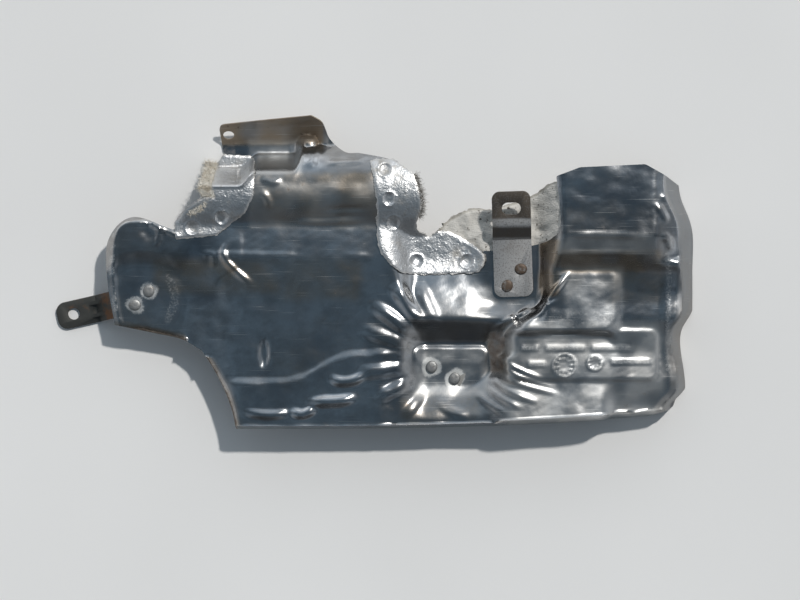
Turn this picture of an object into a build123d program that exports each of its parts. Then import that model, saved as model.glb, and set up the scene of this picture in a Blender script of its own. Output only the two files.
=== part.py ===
from build123d import *
import math
import os

os.makedirs("parts", exist_ok=True)

# Millimetres. X runs along the shield, Y across it towards the bolt flange, Z up.
# The shield lies on its tab, its right rim and the recess below the bolt flange, all at Z = 0.

# Sheet and insulation
SHEET_T = 0.8
FOIL_T = 1.4
TUFT_T = 4.0
MAT_T = 3.0
SEAT_GAP = 0.2
UPWARD = (Align.CENTER, Align.CENTER, Align.MIN)
DOWNWARD = (Align.CENTER, Align.CENTER, Align.MAX)
PRISM_TOP = 70.0
PRISM_LOW = 10.0
TRIM_STEP = 7.0

# Main body and left lobe
BODY_Z = 27.0
CREST_Y = 14.0
BODY_FALL = 0.03
LOBE_DROP = 6.5
LOBE_BREAK_X = -74.0
LOBE_BREAK = 52.0
ROLL_Y = 11.0
ROLL_SHIFT = 38.0
ROLL_DROP, ROLL_DROP_EAST = 2.5, 11.0
ROLL_W = 20.0
LOBE_X, LOBE_Y = -140.0, 1.0
LOBE_RX, LOBE_RY = 23.0, 34.0
LOBE_CUT = 4.5
LOBE_SQUARE = 3.5
LOBE_FOOT_Y = -31.7
LIP_H, LIP_LOW_H = 5.0, 2.5
LIP_LEAN = 1.1

# Barrel, recess, strip and bolt flange
BARREL_Y = 49.5
BARREL_R = 30.0
BARREL_TOP = 30.5
BARREL_LEAN = math.radians(64)
RECESS_X = -45.0
RECESS_Y = 73.0
RECESS_Z = -2.0
RECESS_LEAN = 2.4
RECESS_LEFT_X = -70.0
RECESS_SHIFT = 8.5
STRIP_Z = 12.0
FLANGE_Y = 79.0
FLANGE_LEAN = 0.95
BEAD_X = -40.0
BEAD_Z = 14.0
BEAD_HALF = 9.5

# Pocket with its raised level pad
POCKET_X0, POCKET_X1 = 17.0, 79.0
POCKET_Y0, POCKET_Y1 = -86.0, -28.0
POCKET_Z = 15.5
PAD_RISE = 1.5
PAD_X0, PAD_X1 = 23.0, 69.0
PAD_Y0, PAD_Y1 = -99.0, -44.5
FOLD_H = 1.6
FOLD_FOOT = 13.0
FOLDS = (
    (22.0, -8.0, 6.0), (9.0, -14.0, 5.0), (-1.0, -26.0, 5.0), (-4.0, -41.0, 4.5),
    (-5.0, -55.0, 4.5), (-2.0, -68.0, 5.0), (5.0, -80.0, 5.0),
)

# Block, pillow panel and label panel
BLOCK_X = 105.0
BLOCK_LEAN = 1.45
ROOF_Z = 40.0
ROOF_Y = 23.0
FACET_X = 170.0
PILLOW_X = 147.0
LABEL_X0, LABEL_X1 = 78.0, 173.0
LABEL_Y0, LABEL_Y1 = -66.5, -39.0
LABEL_RISE = 1.2
RIM_X = 194.6
RIM_TUCK = 0.5
RIM_LEAN = 3.2

# Bottom wall
HEM_Y = -95.2
HEM_BOW = 8.0
HEM_X0, HEM_X1 = -85.0, 168.0
HEM_Z = 12.0
HEM_LEAN = 5.0
STEP_X = 142.0
SIDE_Y = -47.0

# Strap bracket, tab bracket, rivets
BRACKET_T = 2.0
BEND_R = 2.0
SEAT_FIT = 0.2
STRAP_X, STRAP_Y = 84.0, 3.0
STRAP_W = 23.5
STRAP_TURN = 1.9
STRAP_SEAT_Z = 20.0
STRAP_RISE = 8.0
STRAP_TILT = 8.0
STRAP_TAIL, STRAP_FLAT, STRAP_TAB_L = 17.5, 18.0, 20.8
STRAP_CORNER_R = 5.0
SLOT_L, SLOT_W = 11.6, 7.4
SLOT_AT = 10.4
TAB_X, TAB_Y = -184.8, -25.0
TAB_W = 16.5
TAB_HOLE_R = 3.5
TAB_SEAT_Z = 20.0
TAB_END, TAB_RUN = 10.4, 13.0
TAB_BEHIND, TAB_BEYOND = 14.75, 11.25
TAB_CORNER_R = 6.0
GUSSET_AT, GUSSET_L, GUSSET_W = 3.8, 6.0, 2.2
FLANGE_HOLE_R = 3.4
FLANGE_HOLE_X, FLANGE_HOLE_Y = -89.7, 84.3
RIVET_R = 2.0
RIVET_HEAD_R = 3.6
RIVET_HEAD_H = 1.5
RIVET_TAIL_R = 3.0
RIVET_TAIL_H = 1.1
RIVET_FIT = 0.05
TAB_RIVETS = ((-137.9, -11.0), (-146.4, -19.5))
STRAP_RIVETS = ((88.8, 2.4), (80.5, -7.9))
POCKET_RIVETS = ((34.5, -57.3), (48.5, -64.4))
TAB_MID = [(a + b) / 2.0 for a, b in zip(*TAB_RIVETS)]
PLATE_L, PLATE_W = 26.0, 15.0
PLATE_CORNER_R = 4.0

# Clinch dimples of the foil patches
DIMPLE_R = 3.5
DIMPLE_DEPTH = 0.8
LEFT_DIMPLES = ((-80.5, 61.0), (-93.3, 33.6), (-111.0, 27.5))
RIGHT_DIMPLES = ((6.1, 62.8), (8.5, 45.0), (11.3, 30.5), (25.3, 7.3), (56.0, 7.3))


def ease(t):
    """A smooth step from 0 to 1."""
    t = min(max(t, 0.0), 1.0)
    return t * t * t * (t * (6.0 * t - 15.0) + 10.0)


def high(a, b, r):
    """The higher of two heights, with a fillet of about r."""
    h = max(r - abs(a - b), 0.0) / r
    return max(a, b) + h * h * h * r / 6.0


def low(a, b, r):
    """The lower of two heights, with a fillet of about r."""
    return -high(-a, -b, r)


def ramp(d, width, r):
    """A straight ramp from 0 to 1 over a width, with rounded ends."""
    return low(high(d / width, 0.0, r / width), 1.0, r / width)


def plateau(x, y, x0, x1, y0, y1, corner):
    """How far a point lies inside a round-cornered rectangle, up to its corner radius."""
    dx = max(abs(2.0 * x - x0 - x1) / 2.0 - (x1 - x0) / 2.0 + corner, 0.0)
    dy = max(abs(2.0 * y - y0 - y1) / 2.0 - (y1 - y0) / 2.0 + corner, 0.0)
    return corner - math.hypot(dx, dy)


def fold(x, y, x0, y0, x1, y1, half, rise):
    """A fold of rounded section along a straight line, fading towards both of its ends."""
    dx, dy = x1 - x0, y1 - y0
    s = ((x - x0) * dx + (y - y0) * dy) / (dx * dx + dy * dy)
    d = math.hypot(x - x0 - s * dx, y - y0 - s * dy)
    return rise * ease(1.0 - d / (1.6 * half)) * ease(2.6 * s) * ease(2.6 * (1.0 - s))


def body(x, y):
    """The broad body with the left lobe, rolled down on the barrel's side."""
    z = BODY_Z - BODY_FALL * high(CREST_Y - y, 0.0, 12.0)
    z -= ease((LOBE_BREAK_X - x) / LOBE_BREAK) * (LOBE_DROP - 3.0 * ease((y + 5.0) / 24.0))
    shift = ease((x - 2.0) / 26.0)
    drop = (ROLL_DROP + (ROLL_DROP_EAST - ROLL_DROP) * shift) * ease((x + 120.0) / 30.0)
    return z - drop * ramp(y - ROLL_Y + ROLL_SHIFT * shift, ROLL_W + 14.0 * shift, 7.0)


def side_line(y):
    """The left lower edge of the body."""
    return HEM_X0 - 22.0 * (max(y - HEM_Y, 0.0) / 50.0) ** 1.6


def lobe_edge(x, y):
    """How far a point lies inside the lobe's left and upper edge."""
    if y < LOBE_Y:
        return x - LOBE_X + LOBE_RX - LOBE_CUT * ((LOBE_Y - y) / LOBE_RY) ** 2
    if x > LOBE_X:
        return LOBE_Y + LOBE_RY - 0.45 * (x - LOBE_X) - y
    u, v = (LOBE_X - x) / LOBE_RX, (y - LOBE_Y) / LOBE_RY
    r = (u ** LOBE_SQUARE + v ** LOBE_SQUARE) ** (1.0 / LOBE_SQUARE)
    p = LOBE_SQUARE - 1.0
    turn = math.hypot(u ** p / LOBE_RX, v ** p / LOBE_RY) / max(r, 0.3) ** p
    return (1.0 - r) / max(turn, 0.02)


def left_edge(x, y):
    """How far a point lies inside the turned-down edge from the lobe to the bottom wall."""
    upper = lobe_edge(x, y) + 200.0 * ease((x - LOBE_X - 2.0) / 20.0)
    foot = y - LOBE_FOOT_Y + 0.21 * (x + 158.6) + 200.0 * ease((x + 116.0) / 10.0)
    side = 0.85 * (x - side_line(y)) + 200.0 * ease((y + 52.0) / 8.0)
    return min(upper, foot, side)


def barrel(x, y):
    """The half-round barrel along X, with straight flanks below its lean."""
    d = abs(y - BARREL_Y)
    top = BARREL_TOP - 30.0 * ease((x - 30.0) / 30.0) - 30.0 * ease((-112.0 - x) / 30.0)
    reach = BARREL_R * math.sin(BARREL_LEAN)
    if d < reach:
        return top - BARREL_R + math.sqrt(BARREL_R ** 2 - d * d)
    foot = top - BARREL_R + BARREL_R * math.cos(BARREL_LEAN)
    return foot - (d - reach) * math.tan(BARREL_LEAN)


def upper_left(x, y):
    """The recess floor, the strip beside it, the half-round bead and the bolt flange."""
    z = (STRIP_Z - RECESS_Z) * ease((x - RECESS_X) / 16.0) + RECESS_Z
    z = high(z, (y - FLANGE_Y) * FLANGE_LEAN + 0.35 * (z - RECESS_Z), 6.0)
    return high(z, BEAD_Z * ease(1.1 - abs(x - BEAD_X) / BEAD_HALF), 4.0)


def block(x, y):
    """The high roof, the pillow panel and the label panel, from the crest downwards."""
    z = ROOF_Z - 0.08 * high(y - ROOF_Y, 0.0, 4.0) - 0.03 * (x - BLOCK_X)
    z -= 0.4 * high(x - FACET_X, 0.0, 3.0) * ease((y - 4.0) / 8.0)
    z -= 3.0 * ramp(ROOF_Y - y, 9.0, 3.0)
    z -= 6.5 * ramp(13.0 - y, 12.0, 5.0)
    pillow = plateau(x, y, 84.0, PILLOW_X + 3.0, -38.0, 3.0, 8.0)
    z += 1.6 * ramp(pillow, 3.5, 1.5)
    z += 2.0 * ramp(-1.0 - y, 32.0, 6.0)
    z -= 5.0 * ramp(-34.0 - y, 4.0, 2.0)
    z += 1.5 * ramp(LABEL_Y0 - y, 18.0, 5.0)
    z -= 6.0 * ease((x - 120.0) / 70.0) * ease((10.0 - y) / 30.0)
    wall = STRAP_SEAT_Z - 1.0 + (x - BLOCK_X + 6.0) * BLOCK_LEAN
    wall += 30.0 * ease((-12.0 - y) / 26.0)
    return low(z, wall, 7.0)


def pressed_details(x, y):
    """The step, beads, label panel and folds pressed into the body."""
    step_y = -63.5 + 17.0 * ease((x + 62.0) / 56.0)
    z = 1.6 * ramp(step_y - y, 6.0, 2.0) * ease((x + 96.0) / 14.0) * ease((14.0 - x) / 14.0)
    z += fold(x, y, -44.0, -78.8, -6.0, -77.4, 4.5, 2.0)
    z += fold(x, y, 120.0, 3.0, 100.0, -22.0, 4.0, 2.0)
    z += fold(x, y, 112.0, -12.0, 70.0, -36.0, 4.0, 2.0)
    z += LABEL_RISE * ramp(plateau(x, y, LABEL_X0, LABEL_X1, LABEL_Y0, LABEL_Y1, 6.0), 3.5, 1.0)
    cx, cy = (PAD_X0 + PAD_X1) / 2.0, PAD_Y1 - 10.0
    for end_x, end_y, half in FOLDS:
        way = FOLD_FOOT / math.hypot(end_x - cx, end_y - cy)
        z += fold(x, y, cx + (end_x - cx) * way, cy + (end_y - cy) * way, end_x, end_y, half, FOLD_H)
    return z


def hem_line(x):
    """The bottom edge of the sheet, bowed up towards the right."""
    return HEM_Y + HEM_BOW * max((x - HEM_X0) / (HEM_X1 - HEM_X0), 0.0) ** 3


def rim_line(y):
    """The right edge of the sheet, with a waist beside the label panel."""
    x = RIM_X - 8.5 * ease((y - 22.0) / 34.0) - 7.5 * ease((-21.0 - y) / 19.0)
    return x + 3.0 * ease((-40.0 - y) / 25.0) - 9.0 * ease((-68.0 - y) / 16.0)


def height(x, y):
    """The underside of the pressed sheet; it also runs on beyond the sheet's edges."""
    z = body(x, y)
    west = ease((58.0 - x) / 24.0)
    if west > 0.0:
        beyond = 40.0 * ease((y - BARREL_Y) / 16.0) * ease((x + 150.0) / 50.0)
        left = high(z - beyond, barrel(x, y), 5.0)
        if y > BARREL_Y:
            shift = RECESS_SHIFT * ease((RECESS_LEFT_X - x) / 14.0)
            recess = RECESS_LEAN * (RECESS_Y - shift - y) + 30.0 * ease((x - RECESS_X + 6.0) / 12.0)
            left = high(low(left, recess, 6.0), upper_left(x, y), 4.0)
        z = left * west + z * (1.0 - west)
    east = ease((x - 62.0) / 26.0)
    if east > 0.0:
        sink = 8.0 * ease((-24.0 - y) / 20.0)
        z = z * (1.0 - east) + high(z - sink, block(x, y), 6.0) * east
    z += pressed_details(x, y)
    dip = ramp(x - POCKET_X0, 10.0, 4.0) * ramp(POCKET_X1 - x, 9.0, 4.0)
    dip *= ramp(POCKET_Y1 - y, 14.0, 3.0) * ramp(y - POCKET_Y0, 10.0, 4.0)
    pad = ramp(plateau(x, y, PAD_X0, PAD_X1, PAD_Y0, PAD_Y1, 5.0), 2.0, 0.8)
    z = z * (1.0 - dip) + POCKET_Z * dip + PAD_RISE * pad
    seat = ramp(x - 57.0, 14.0, 4.0) * ramp(105.0 - x, 7.0, 2.0)
    seat *= ramp(y + 30.0, 14.0, 4.0) * ramp(30.0 - y, 6.0, 2.0)
    z = z * (1.0 - seat) + STRAP_SEAT_Z * seat
    seat = ramp(29.0 - math.hypot(x - TAB_MID[0], y - TAB_MID[1]), 12.0, 3.0)
    z = z * (1.0 - seat) + TAB_SEAT_Z * seat
    corner = ease((x - STEP_X + 7.0) / 14.0)
    z -= 5.0 * corner * ramp(-66.0 - y, 16.0, 5.0)
    if y < -60.0:
        hem = HEM_Z * (1.0 - corner) + HEM_LEAN * (y - hem_line(x)) + 60.0 * ease((-92.0 - x) / 6.0)
        z = low(z, high(hem, 0.0, 3.0), 3.0)
    if x < -60.0:
        gap = ease(1.7 - abs(y - TAB_MID[1]) / TAB_W) * ease((LOBE_X - x) / 12.0)
        lip = (LIP_LOW_H + (LIP_H - LIP_LOW_H) * ease((y + 34.0) / 12.0)) * (1.0 - gap)
        z = low(z, z - lip + LIP_LEAN * high(left_edge(x, y), -2.0, 1.0), 2.5)
    if x > 140.0:
        z = low(z, RIM_LEAN * (rim_line(y) - RIM_TUCK - x), 4.0)
    return high(z, 0.0, 2.0)


def lean(x, y):
    """How much longer a wall is upright than square to the sheet."""
    e = 0.2
    sx = (height(x + e, y) - height(x - e, y)) / (2.0 * e)
    sy = (height(x, y + e) - height(x, y - e)) / (2.0 * e)
    return math.sqrt(1.0 + sx * sx + sy * sy)


def stations(start, end, count):
    """Even stations from start to end."""
    return [start + (end - start) * i / count for i in range(count + 1)]


RUN_X = stations(-167.0, -155.0, 3) + stations(-146.0, -56.0, 9) + stations(-49.0, -29.0, 4)
RUN_X += stations(-21.0, 13.0, 4) + stations(19.0, 81.0, 10) + stations(87.0, 117.0, 6)
RUN_X += stations(126.0, FACET_X, 4) + stations(RIM_X - 17.0, RIM_X + 4.0, 4)
RUN_Y = [HEM_Y - 3.0, HEM_Y, HEM_Y + 1.4, HEM_Y + 2.8] + stations(HEM_Y + 7.0, -50.0, 6)
RUN_Y += stations(-46.0, -24.0, 5) + stations(-17.0, 28.0, 8) + stations(33.0, 98.0, 11)


def level(x, y, lift):
    """The height of a skin that lies a distance above the underside of the sheet."""
    return height(x, y) + lift * lean(x, y)


def section(x, bottom, top):
    """The outline of a layer across the sheet, between two distances above its underside."""
    bow = hem_line(x) - HEM_Y
    run = [y + bow * ease((-40.0 - y) / 40.0) for y in RUN_Y]
    under = [Vector(x, y, level(x, y, bottom)) for y in run]
    over = [Vector(x, y, level(x, y, top)) for y in run]
    return Wire.make_polygon(under + over[::-1], close=True)


def cut_out(outline):
    """An upright block on an outline, its curves in short straight runs."""
    corners = []
    for edge in outline.order_edges():
        count = 1
        if edge.geom_type != GeomType.LINE:
            count = math.ceil(edge.length / TRIM_STEP)
        corners += [edge.position_at(i / count) for i in range(count)]
    with BuildSketch(Plane.XY.offset(-PRISM_LOW)) as plan:
        with BuildLine():
            Polyline(*corners, close=True)
        make_face()
    extrude(plan.sketch, amount=PRISM_LOW + PRISM_TOP)


def layer(outline, bottom, top):
    """A layer of the sheet, on it or under it, lofted along X and cut to an outline."""
    cut_out(outline)
    box = outline.bounding_box()
    first = max(i for i, x in enumerate(RUN_X) if x < box.min.X)
    last = min(i for i, x in enumerate(RUN_X) if x > box.max.X)
    run = RUN_X[first:last + 1]
    add(Solid.make_loft([section(x, bottom, top) for x in run], ruled=True), mode=Mode.INTERSECT)


def dimple(x, y, top):
    """A shallow round dimple in the upper face of a patch."""
    with Locations((x, y, level(x, y, top) - DIMPLE_DEPTH)):
        Cone(DIMPLE_R - DIMPLE_DEPTH, DIMPLE_R + DIMPLE_DEPTH, 2.0 * DIMPLE_DEPTH,
             align=UPWARD, mode=Mode.SUBTRACT)


def rivets(places, seat, grip):
    """Flat bevelled rivets: the head sits on seat, the tail holds grip below it."""
    for x, y in places:
        with Locations((x, y, seat)):
            Cone(RIVET_HEAD_R, RIVET_HEAD_R - RIVET_HEAD_H, RIVET_HEAD_H, align=UPWARD)
            Cylinder(RIVET_R, grip, align=DOWNWARD)
        with Locations((x, y, seat - grip)):
            Cylinder(RIVET_TAIL_R, RIVET_TAIL_H, align=DOWNWARD)


def rivet_holes(places):
    """Clearance holes for rivets, right through the piece being built."""
    with Locations([(x, y, 0) for x, y in places]):
        Cylinder(RIVET_R + RIVET_FIT, 2.0 * PRISM_TOP, mode=Mode.SUBTRACT)


# Pressed sheet
with BuildLine() as sheet_line:
    Spline((-158.6, LOBE_FOOT_Y), (-163.0, -6.0), (-162.9, 19.5), (-148.0, 34.0), (-122.6, 26.2))
    Spline((-122.6, 26.2), (-117.0, 31.5), (-101.0, 37.0), (-91.0, 50.0), (-89.0, 68.0))
    Polyline((-89.0, 68.0), (-93.3, 75.0), (-95.2, 87.5))
    ThreePointArc((-95.2, 87.5), (-94.5, 89.7), (-92.5, 90.6))
    Polyline((-92.5, 90.6), (-72.6, 92.7), (-39.0, 95.8))
    Spline((-39.0, 95.8), (-32.3, 91.5), (-27.5, 81.7), (-18.3, 73.8), (-9.8, 73.2))
    Polyline((-9.8, 73.2), (3.1, 70.8), (14.0, 68.0))
    Spline((14.0, 68.0), (16.5, 42.0), (22.0, 25.0), (36.0, 14.5), (70.8, 13.4))
    Spline((70.8, 13.4), (95.0, 16.5), (107.0, 20.7), (112.5, 30.0), (110.0, 58.6))
    Polyline((110.0, 58.6), (124.4, 64.0), (164.1, 65.9), (rim_line(53.7), 53.7))
    Spline(*[(rim_line(y), y) for y in (53.7, 45.0, 26.0, 0.0, -23.0)])
    Spline(*[(rim_line(y), y) for y in (-23.0, -39.0, -66.5, -83.0)], (HEM_X1, hem_line(HEM_X1)))
    Spline(*[(x, hem_line(x)) for x in (HEM_X1, 110.0, 40.0, -20.0, HEM_X0)])
    Spline(*[(side_line(y), y) for y in (HEM_Y, -82.0, -64.0, SIDE_Y)])
    Spline((side_line(SIDE_Y), SIDE_Y), (-118.3, -40.3), (-134.8, -36.6), (-158.6, LOBE_FOOT_Y))

with BuildPart() as shield_sheet:
    layer(sheet_line.wire(), 0.0, SHEET_T)
    flange_z = height(FLANGE_HOLE_X, FLANGE_HOLE_Y)
    with Locations(Plane((FLANGE_HOLE_X, FLANGE_HOLE_Y, flange_z), (1, 0, 0), (0, -FLANGE_LEAN, 1.0))):
        Cylinder(FLANGE_HOLE_R, 12.0, mode=Mode.SUBTRACT)
    rivet_holes(TAB_RIVETS + STRAP_RIVETS + POCKET_RIVETS)
shield_sheet.part.label = "shield_sheet"
export_step(shield_sheet.part, "parts/shield_sheet.step")

# Left foil patch, with its three clinch dimples
FOIL_LOW = SHEET_T + SEAT_GAP
FOIL_TOP = FOIL_LOW + FOIL_T
LEFT_TEAR = ((-97.5, 46.0), (-99.5, 50.5), (-98.0, 58.0), (-97.0, 67.0))
with BuildLine() as left_line:
    Polyline(LEFT_TEAR[-1], (-93.0, 73.0), (-76.5, 72.0))
    Spline((-76.5, 72.0), (-73.6, 67.0), (-74.0, 48.0), (-79.0, 36.0))
    Polyline((-79.0, 36.0), (-97.0, 22.5), (-122.0, 20.4), (-122.0, 29.0))
    Spline((-122.0, 29.0), (-115.0, 35.0), (-103.5, 39.0), LEFT_TEAR[0])
    Spline(*LEFT_TEAR)

with BuildPart() as left_foil_patch:
    layer(left_line.wire(), FOIL_LOW, FOIL_TOP)
    for px, py in LEFT_DIMPLES:
        dimple(px, py, FOIL_TOP)
left_foil_patch.part.label = "left_foil_patch"
export_step(left_foil_patch.part, "parts/left_foil_patch.step")

# Fibre in the tear of the left patch
with BuildLine() as left_tuft_line:
    Spline(*[(x - SEAT_GAP, y) for x, y in LEFT_TEAR])
    Spline(
        (LEFT_TEAR[-1][0] - SEAT_GAP, LEFT_TEAR[-1][1]),
        (-105.0, 68.0),
        (-108.5, 60.0),
        (-106.5, 48.0),
        (LEFT_TEAR[0][0] - SEAT_GAP, LEFT_TEAR[0][1]),
    )

with BuildPart() as left_fibre_tuft:
    layer(left_tuft_line.wire(), FOIL_LOW, FOIL_LOW + TUFT_T)
left_fibre_tuft.part.label = "left_fibre_tuft"
export_step(left_fibre_tuft.part, "parts/left_fibre_tuft.step")

# Right foil patch, with its five clinch dimples
RIGHT_TEAR = ((23.5, 60.0), (27.0, 50.0), (28.0, 40.0), (26.0, 33.0))
with BuildLine() as right_line:
    Spline(*RIGHT_TEAR)
    Spline(RIGHT_TEAR[-1], (25.5, 26.5), (33.0, 22.5), (38.4, 25.6), (44.5, 25.6))
    Spline((44.5, 25.6), (54.0, 21.0), (65.9, 12.0), (66.0, 4.0), (62.0, 0.0))
    Polyline((62.0, 0.0), (30.0, -1.2), (16.0, 0.0))
    Spline((16.0, 0.0), (8.0, 6.7), (1.8, 17.7), (0.6, 45.0), (-3.0, 68.3))
    Polyline((-3.0, 68.3), (0.0, 69.5), (11.6, 69.5), RIGHT_TEAR[0])

with BuildPart() as right_foil_patch:
    layer(right_line.wire(), FOIL_LOW, FOIL_TOP)
    for px, py in RIGHT_DIMPLES:
        dimple(px, py, FOIL_TOP)
right_foil_patch.part.label = "right_foil_patch"
export_step(right_foil_patch.part, "parts/right_foil_patch.step")

# Fibre in the tear of the right patch
with BuildLine() as right_tuft_line:
    Spline(*[(x + SEAT_GAP, y) for x, y in RIGHT_TEAR])
    Spline(
        (RIGHT_TEAR[-1][0] + SEAT_GAP, RIGHT_TEAR[-1][1]),
        (31.0, 35.0),
        (33.0, 43.0),
        (30.5, 52.0),
        (RIGHT_TEAR[0][0] + SEAT_GAP, RIGHT_TEAR[0][1]),
    )

with BuildPart() as right_fibre_tuft:
    layer(right_tuft_line.wire(), FOIL_LOW, FOIL_LOW + 0.7 * TUFT_T)
right_fibre_tuft.part.label = "right_fibre_tuft"
export_step(right_fibre_tuft.part, "parts/right_fibre_tuft.step")

# Bare insulation mat, tucked under the sheet all round the notch
with BuildLine() as mat_line:
    Spline((36.0, 22.0), (43.3, 31.1), (50.0, 35.4), (60.4, 39.7), (72.0, 38.6))
    Spline((72.0, 38.6), (95.2, 47.0), (107.4, 55.0), (113.5, 54.0))
    Spline((113.5, 54.0), (116.0, 40.0), (115.0, 22.0), (100.0, 10.0), (70.0, 9.0))
    Spline((70.0, 9.0), (45.0, 9.0), (36.0, 13.0), (36.0, 22.0))

with BuildPart() as saddle_mat:
    layer(mat_line.wire(), -SEAT_GAP - MAT_T, -SEAT_GAP)
saddle_mat.part.label = "saddle_mat"
export_step(saddle_mat.part, "parts/saddle_mat.step")

# Strap bracket on its level seat, joggled up to the slotted end
strap_turn = math.radians(STRAP_TURN)
strap_tilt = math.radians(STRAP_TILT)
strap_way = (-math.sin(strap_turn), math.cos(strap_turn), 0)
strap_side = Plane(
    (STRAP_X, STRAP_Y, STRAP_SEAT_Z + SHEET_T + SEAT_FIT),
    x_dir=strap_way,
    z_dir=(math.cos(strap_turn), math.sin(strap_turn), 0),
)
strap_bend = STRAP_FLAT + STRAP_RISE
strap_end = (
    strap_bend + STRAP_TAB_L * math.cos(strap_tilt),
    STRAP_RISE + STRAP_TAB_L * math.sin(strap_tilt),
)
with BuildPart() as strap_bracket:
    with BuildSketch(strap_side):
        with BuildLine():
            FilletPolyline(
                (-STRAP_TAIL, 0),
                (STRAP_FLAT, 0),
                (strap_bend, STRAP_RISE),
                strap_end,
                radius=BEND_R,
            )
            offset(amount=BRACKET_T, side=Side.LEFT)
        make_face()
    extrude(amount=STRAP_W / 2.0, both=True)
    strap_mid = (strap_end[0] - STRAP_TAIL) / 2.0
    with BuildSketch(Plane(strap_side.from_local_coords((strap_mid, 0, 0)), x_dir=strap_way)):
        RectangleRounded(strap_end[0] + STRAP_TAIL, STRAP_W, STRAP_CORNER_R)
    extrude(amount=PRISM_TOP, mode=Mode.INTERSECT)
    slot_at = (
        strap_bend + SLOT_AT * math.cos(strap_tilt),
        STRAP_RISE + SLOT_AT * math.sin(strap_tilt),
    )
    slot_up = strap_side.from_local_coords(Vector(-math.sin(strap_tilt), math.cos(strap_tilt), 0))
    slot_up = slot_up - strap_side.origin
    with BuildSketch(
        Plane(strap_side.from_local_coords((*slot_at, 0)), x_dir=strap_side.z_dir, z_dir=slot_up)
    ):
        SlotOverall(SLOT_L, SLOT_W)
    extrude(amount=3.0 * BRACKET_T, both=True, mode=Mode.SUBTRACT)
    rivet_holes(STRAP_RIVETS)
strap_bracket.part.label = "strap_bracket"
export_step(strap_bracket.part, "parts/strap_bracket.step")

# Tab bracket: it lies on the floor at its hole and rises to its level seat under the lobe
tab_turn = math.atan2(TAB_MID[1] - TAB_Y, TAB_MID[0] - TAB_X)
tab_span = math.hypot(TAB_MID[1] - TAB_Y, TAB_MID[0] - TAB_X)
tab_flat = tab_span - TAB_BEHIND - TAB_RUN
tab_reach = tab_span + TAB_BEYOND
tab_way = (math.cos(tab_turn), math.sin(tab_turn), 0)
tab_side = Plane((TAB_X, TAB_Y, 0), x_dir=tab_way, z_dir=(math.sin(tab_turn), -math.cos(tab_turn), 0))
tab_rise = TAB_SEAT_Z - SEAT_FIT - BRACKET_T
with BuildPart() as tab_bracket:
    with BuildSketch(tab_side):
        with BuildLine():
            FilletPolyline(
                (-TAB_END, 0),
                (tab_flat, 0),
                (tab_flat + TAB_RUN, tab_rise),
                (tab_reach, tab_rise),
                radius=BEND_R,
            )
            offset(amount=BRACKET_T, side=Side.LEFT)
        make_face()
    extrude(amount=TAB_W / 2.0, both=True)
    for side in (-1, 1):
        with BuildSketch(tab_side.offset(side * GUSSET_AT)):
            with BuildLine():
                Polyline(
                    (tab_flat - GUSSET_L, BRACKET_T),
                    (tab_flat + GUSSET_L * 0.55, BRACKET_T + GUSSET_L * 0.85),
                    (tab_flat + 1.0, BRACKET_T - 1.0),
                    close=True,
                )
            make_face()
        extrude(amount=GUSSET_W / 2.0, both=True)
    with BuildSketch(Plane(tab_side.from_local_coords(((tab_reach - TAB_END) / 2.0, 0, 0)), x_dir=tab_way)):
        RectangleRounded(tab_reach + TAB_END, TAB_W, TAB_CORNER_R)
    extrude(amount=PRISM_TOP, mode=Mode.INTERSECT)
    with Locations((TAB_X, TAB_Y, 0)):
        Cylinder(TAB_HOLE_R, 6.0 * BRACKET_T, mode=Mode.SUBTRACT)
    rivet_holes(TAB_RIVETS)
tab_bracket.part.label = "tab_bracket"
export_step(tab_bracket.part, "parts/tab_bracket.step")

# Plain backing plate under the pocket's pad
pad_z = POCKET_Z + PAD_RISE
plate_x = (POCKET_RIVETS[0][0] + POCKET_RIVETS[1][0]) / 2.0
plate_y = (POCKET_RIVETS[0][1] + POCKET_RIVETS[1][1]) / 2.0
plate_dx = POCKET_RIVETS[1][0] - POCKET_RIVETS[0][0]
plate_dy = POCKET_RIVETS[1][1] - POCKET_RIVETS[0][1]
with BuildPart() as pocket_backing_plate:
    with BuildSketch(Plane((plate_x, plate_y, pad_z - SEAT_FIT), x_dir=(plate_dx, plate_dy, 0))):
        RectangleRounded(PLATE_L, PLATE_W, PLATE_CORNER_R)
    extrude(amount=-BRACKET_T)
    rivet_holes(POCKET_RIVETS)
pocket_backing_plate.part.label = "pocket_backing_plate"
export_step(pocket_backing_plate.part, "parts/pocket_backing_plate.step")

# Six like rivets, in pairs
GRIP = SHEET_T + BRACKET_T + 3.0 * SEAT_FIT
with BuildPart() as rivet_set:
    rivets(STRAP_RIVETS, STRAP_SEAT_Z + SHEET_T + BRACKET_T + 2.0 * SEAT_FIT, GRIP)
    rivets(TAB_RIVETS, TAB_SEAT_Z + SHEET_T + SEAT_FIT, GRIP)
    rivets(POCKET_RIVETS, pad_z + SHEET_T + SEAT_FIT, GRIP)
rivet_set.part.label = "rivets"
export_step(rivet_set.part, "parts/rivets.step")
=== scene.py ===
# %% [markdown]
# # Exhaust heat shield
# A torn, heat-tinted heat shield lies on pale paper and is seen from above.
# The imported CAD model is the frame, and every piece below is dressed around it.

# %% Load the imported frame
import math

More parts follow.
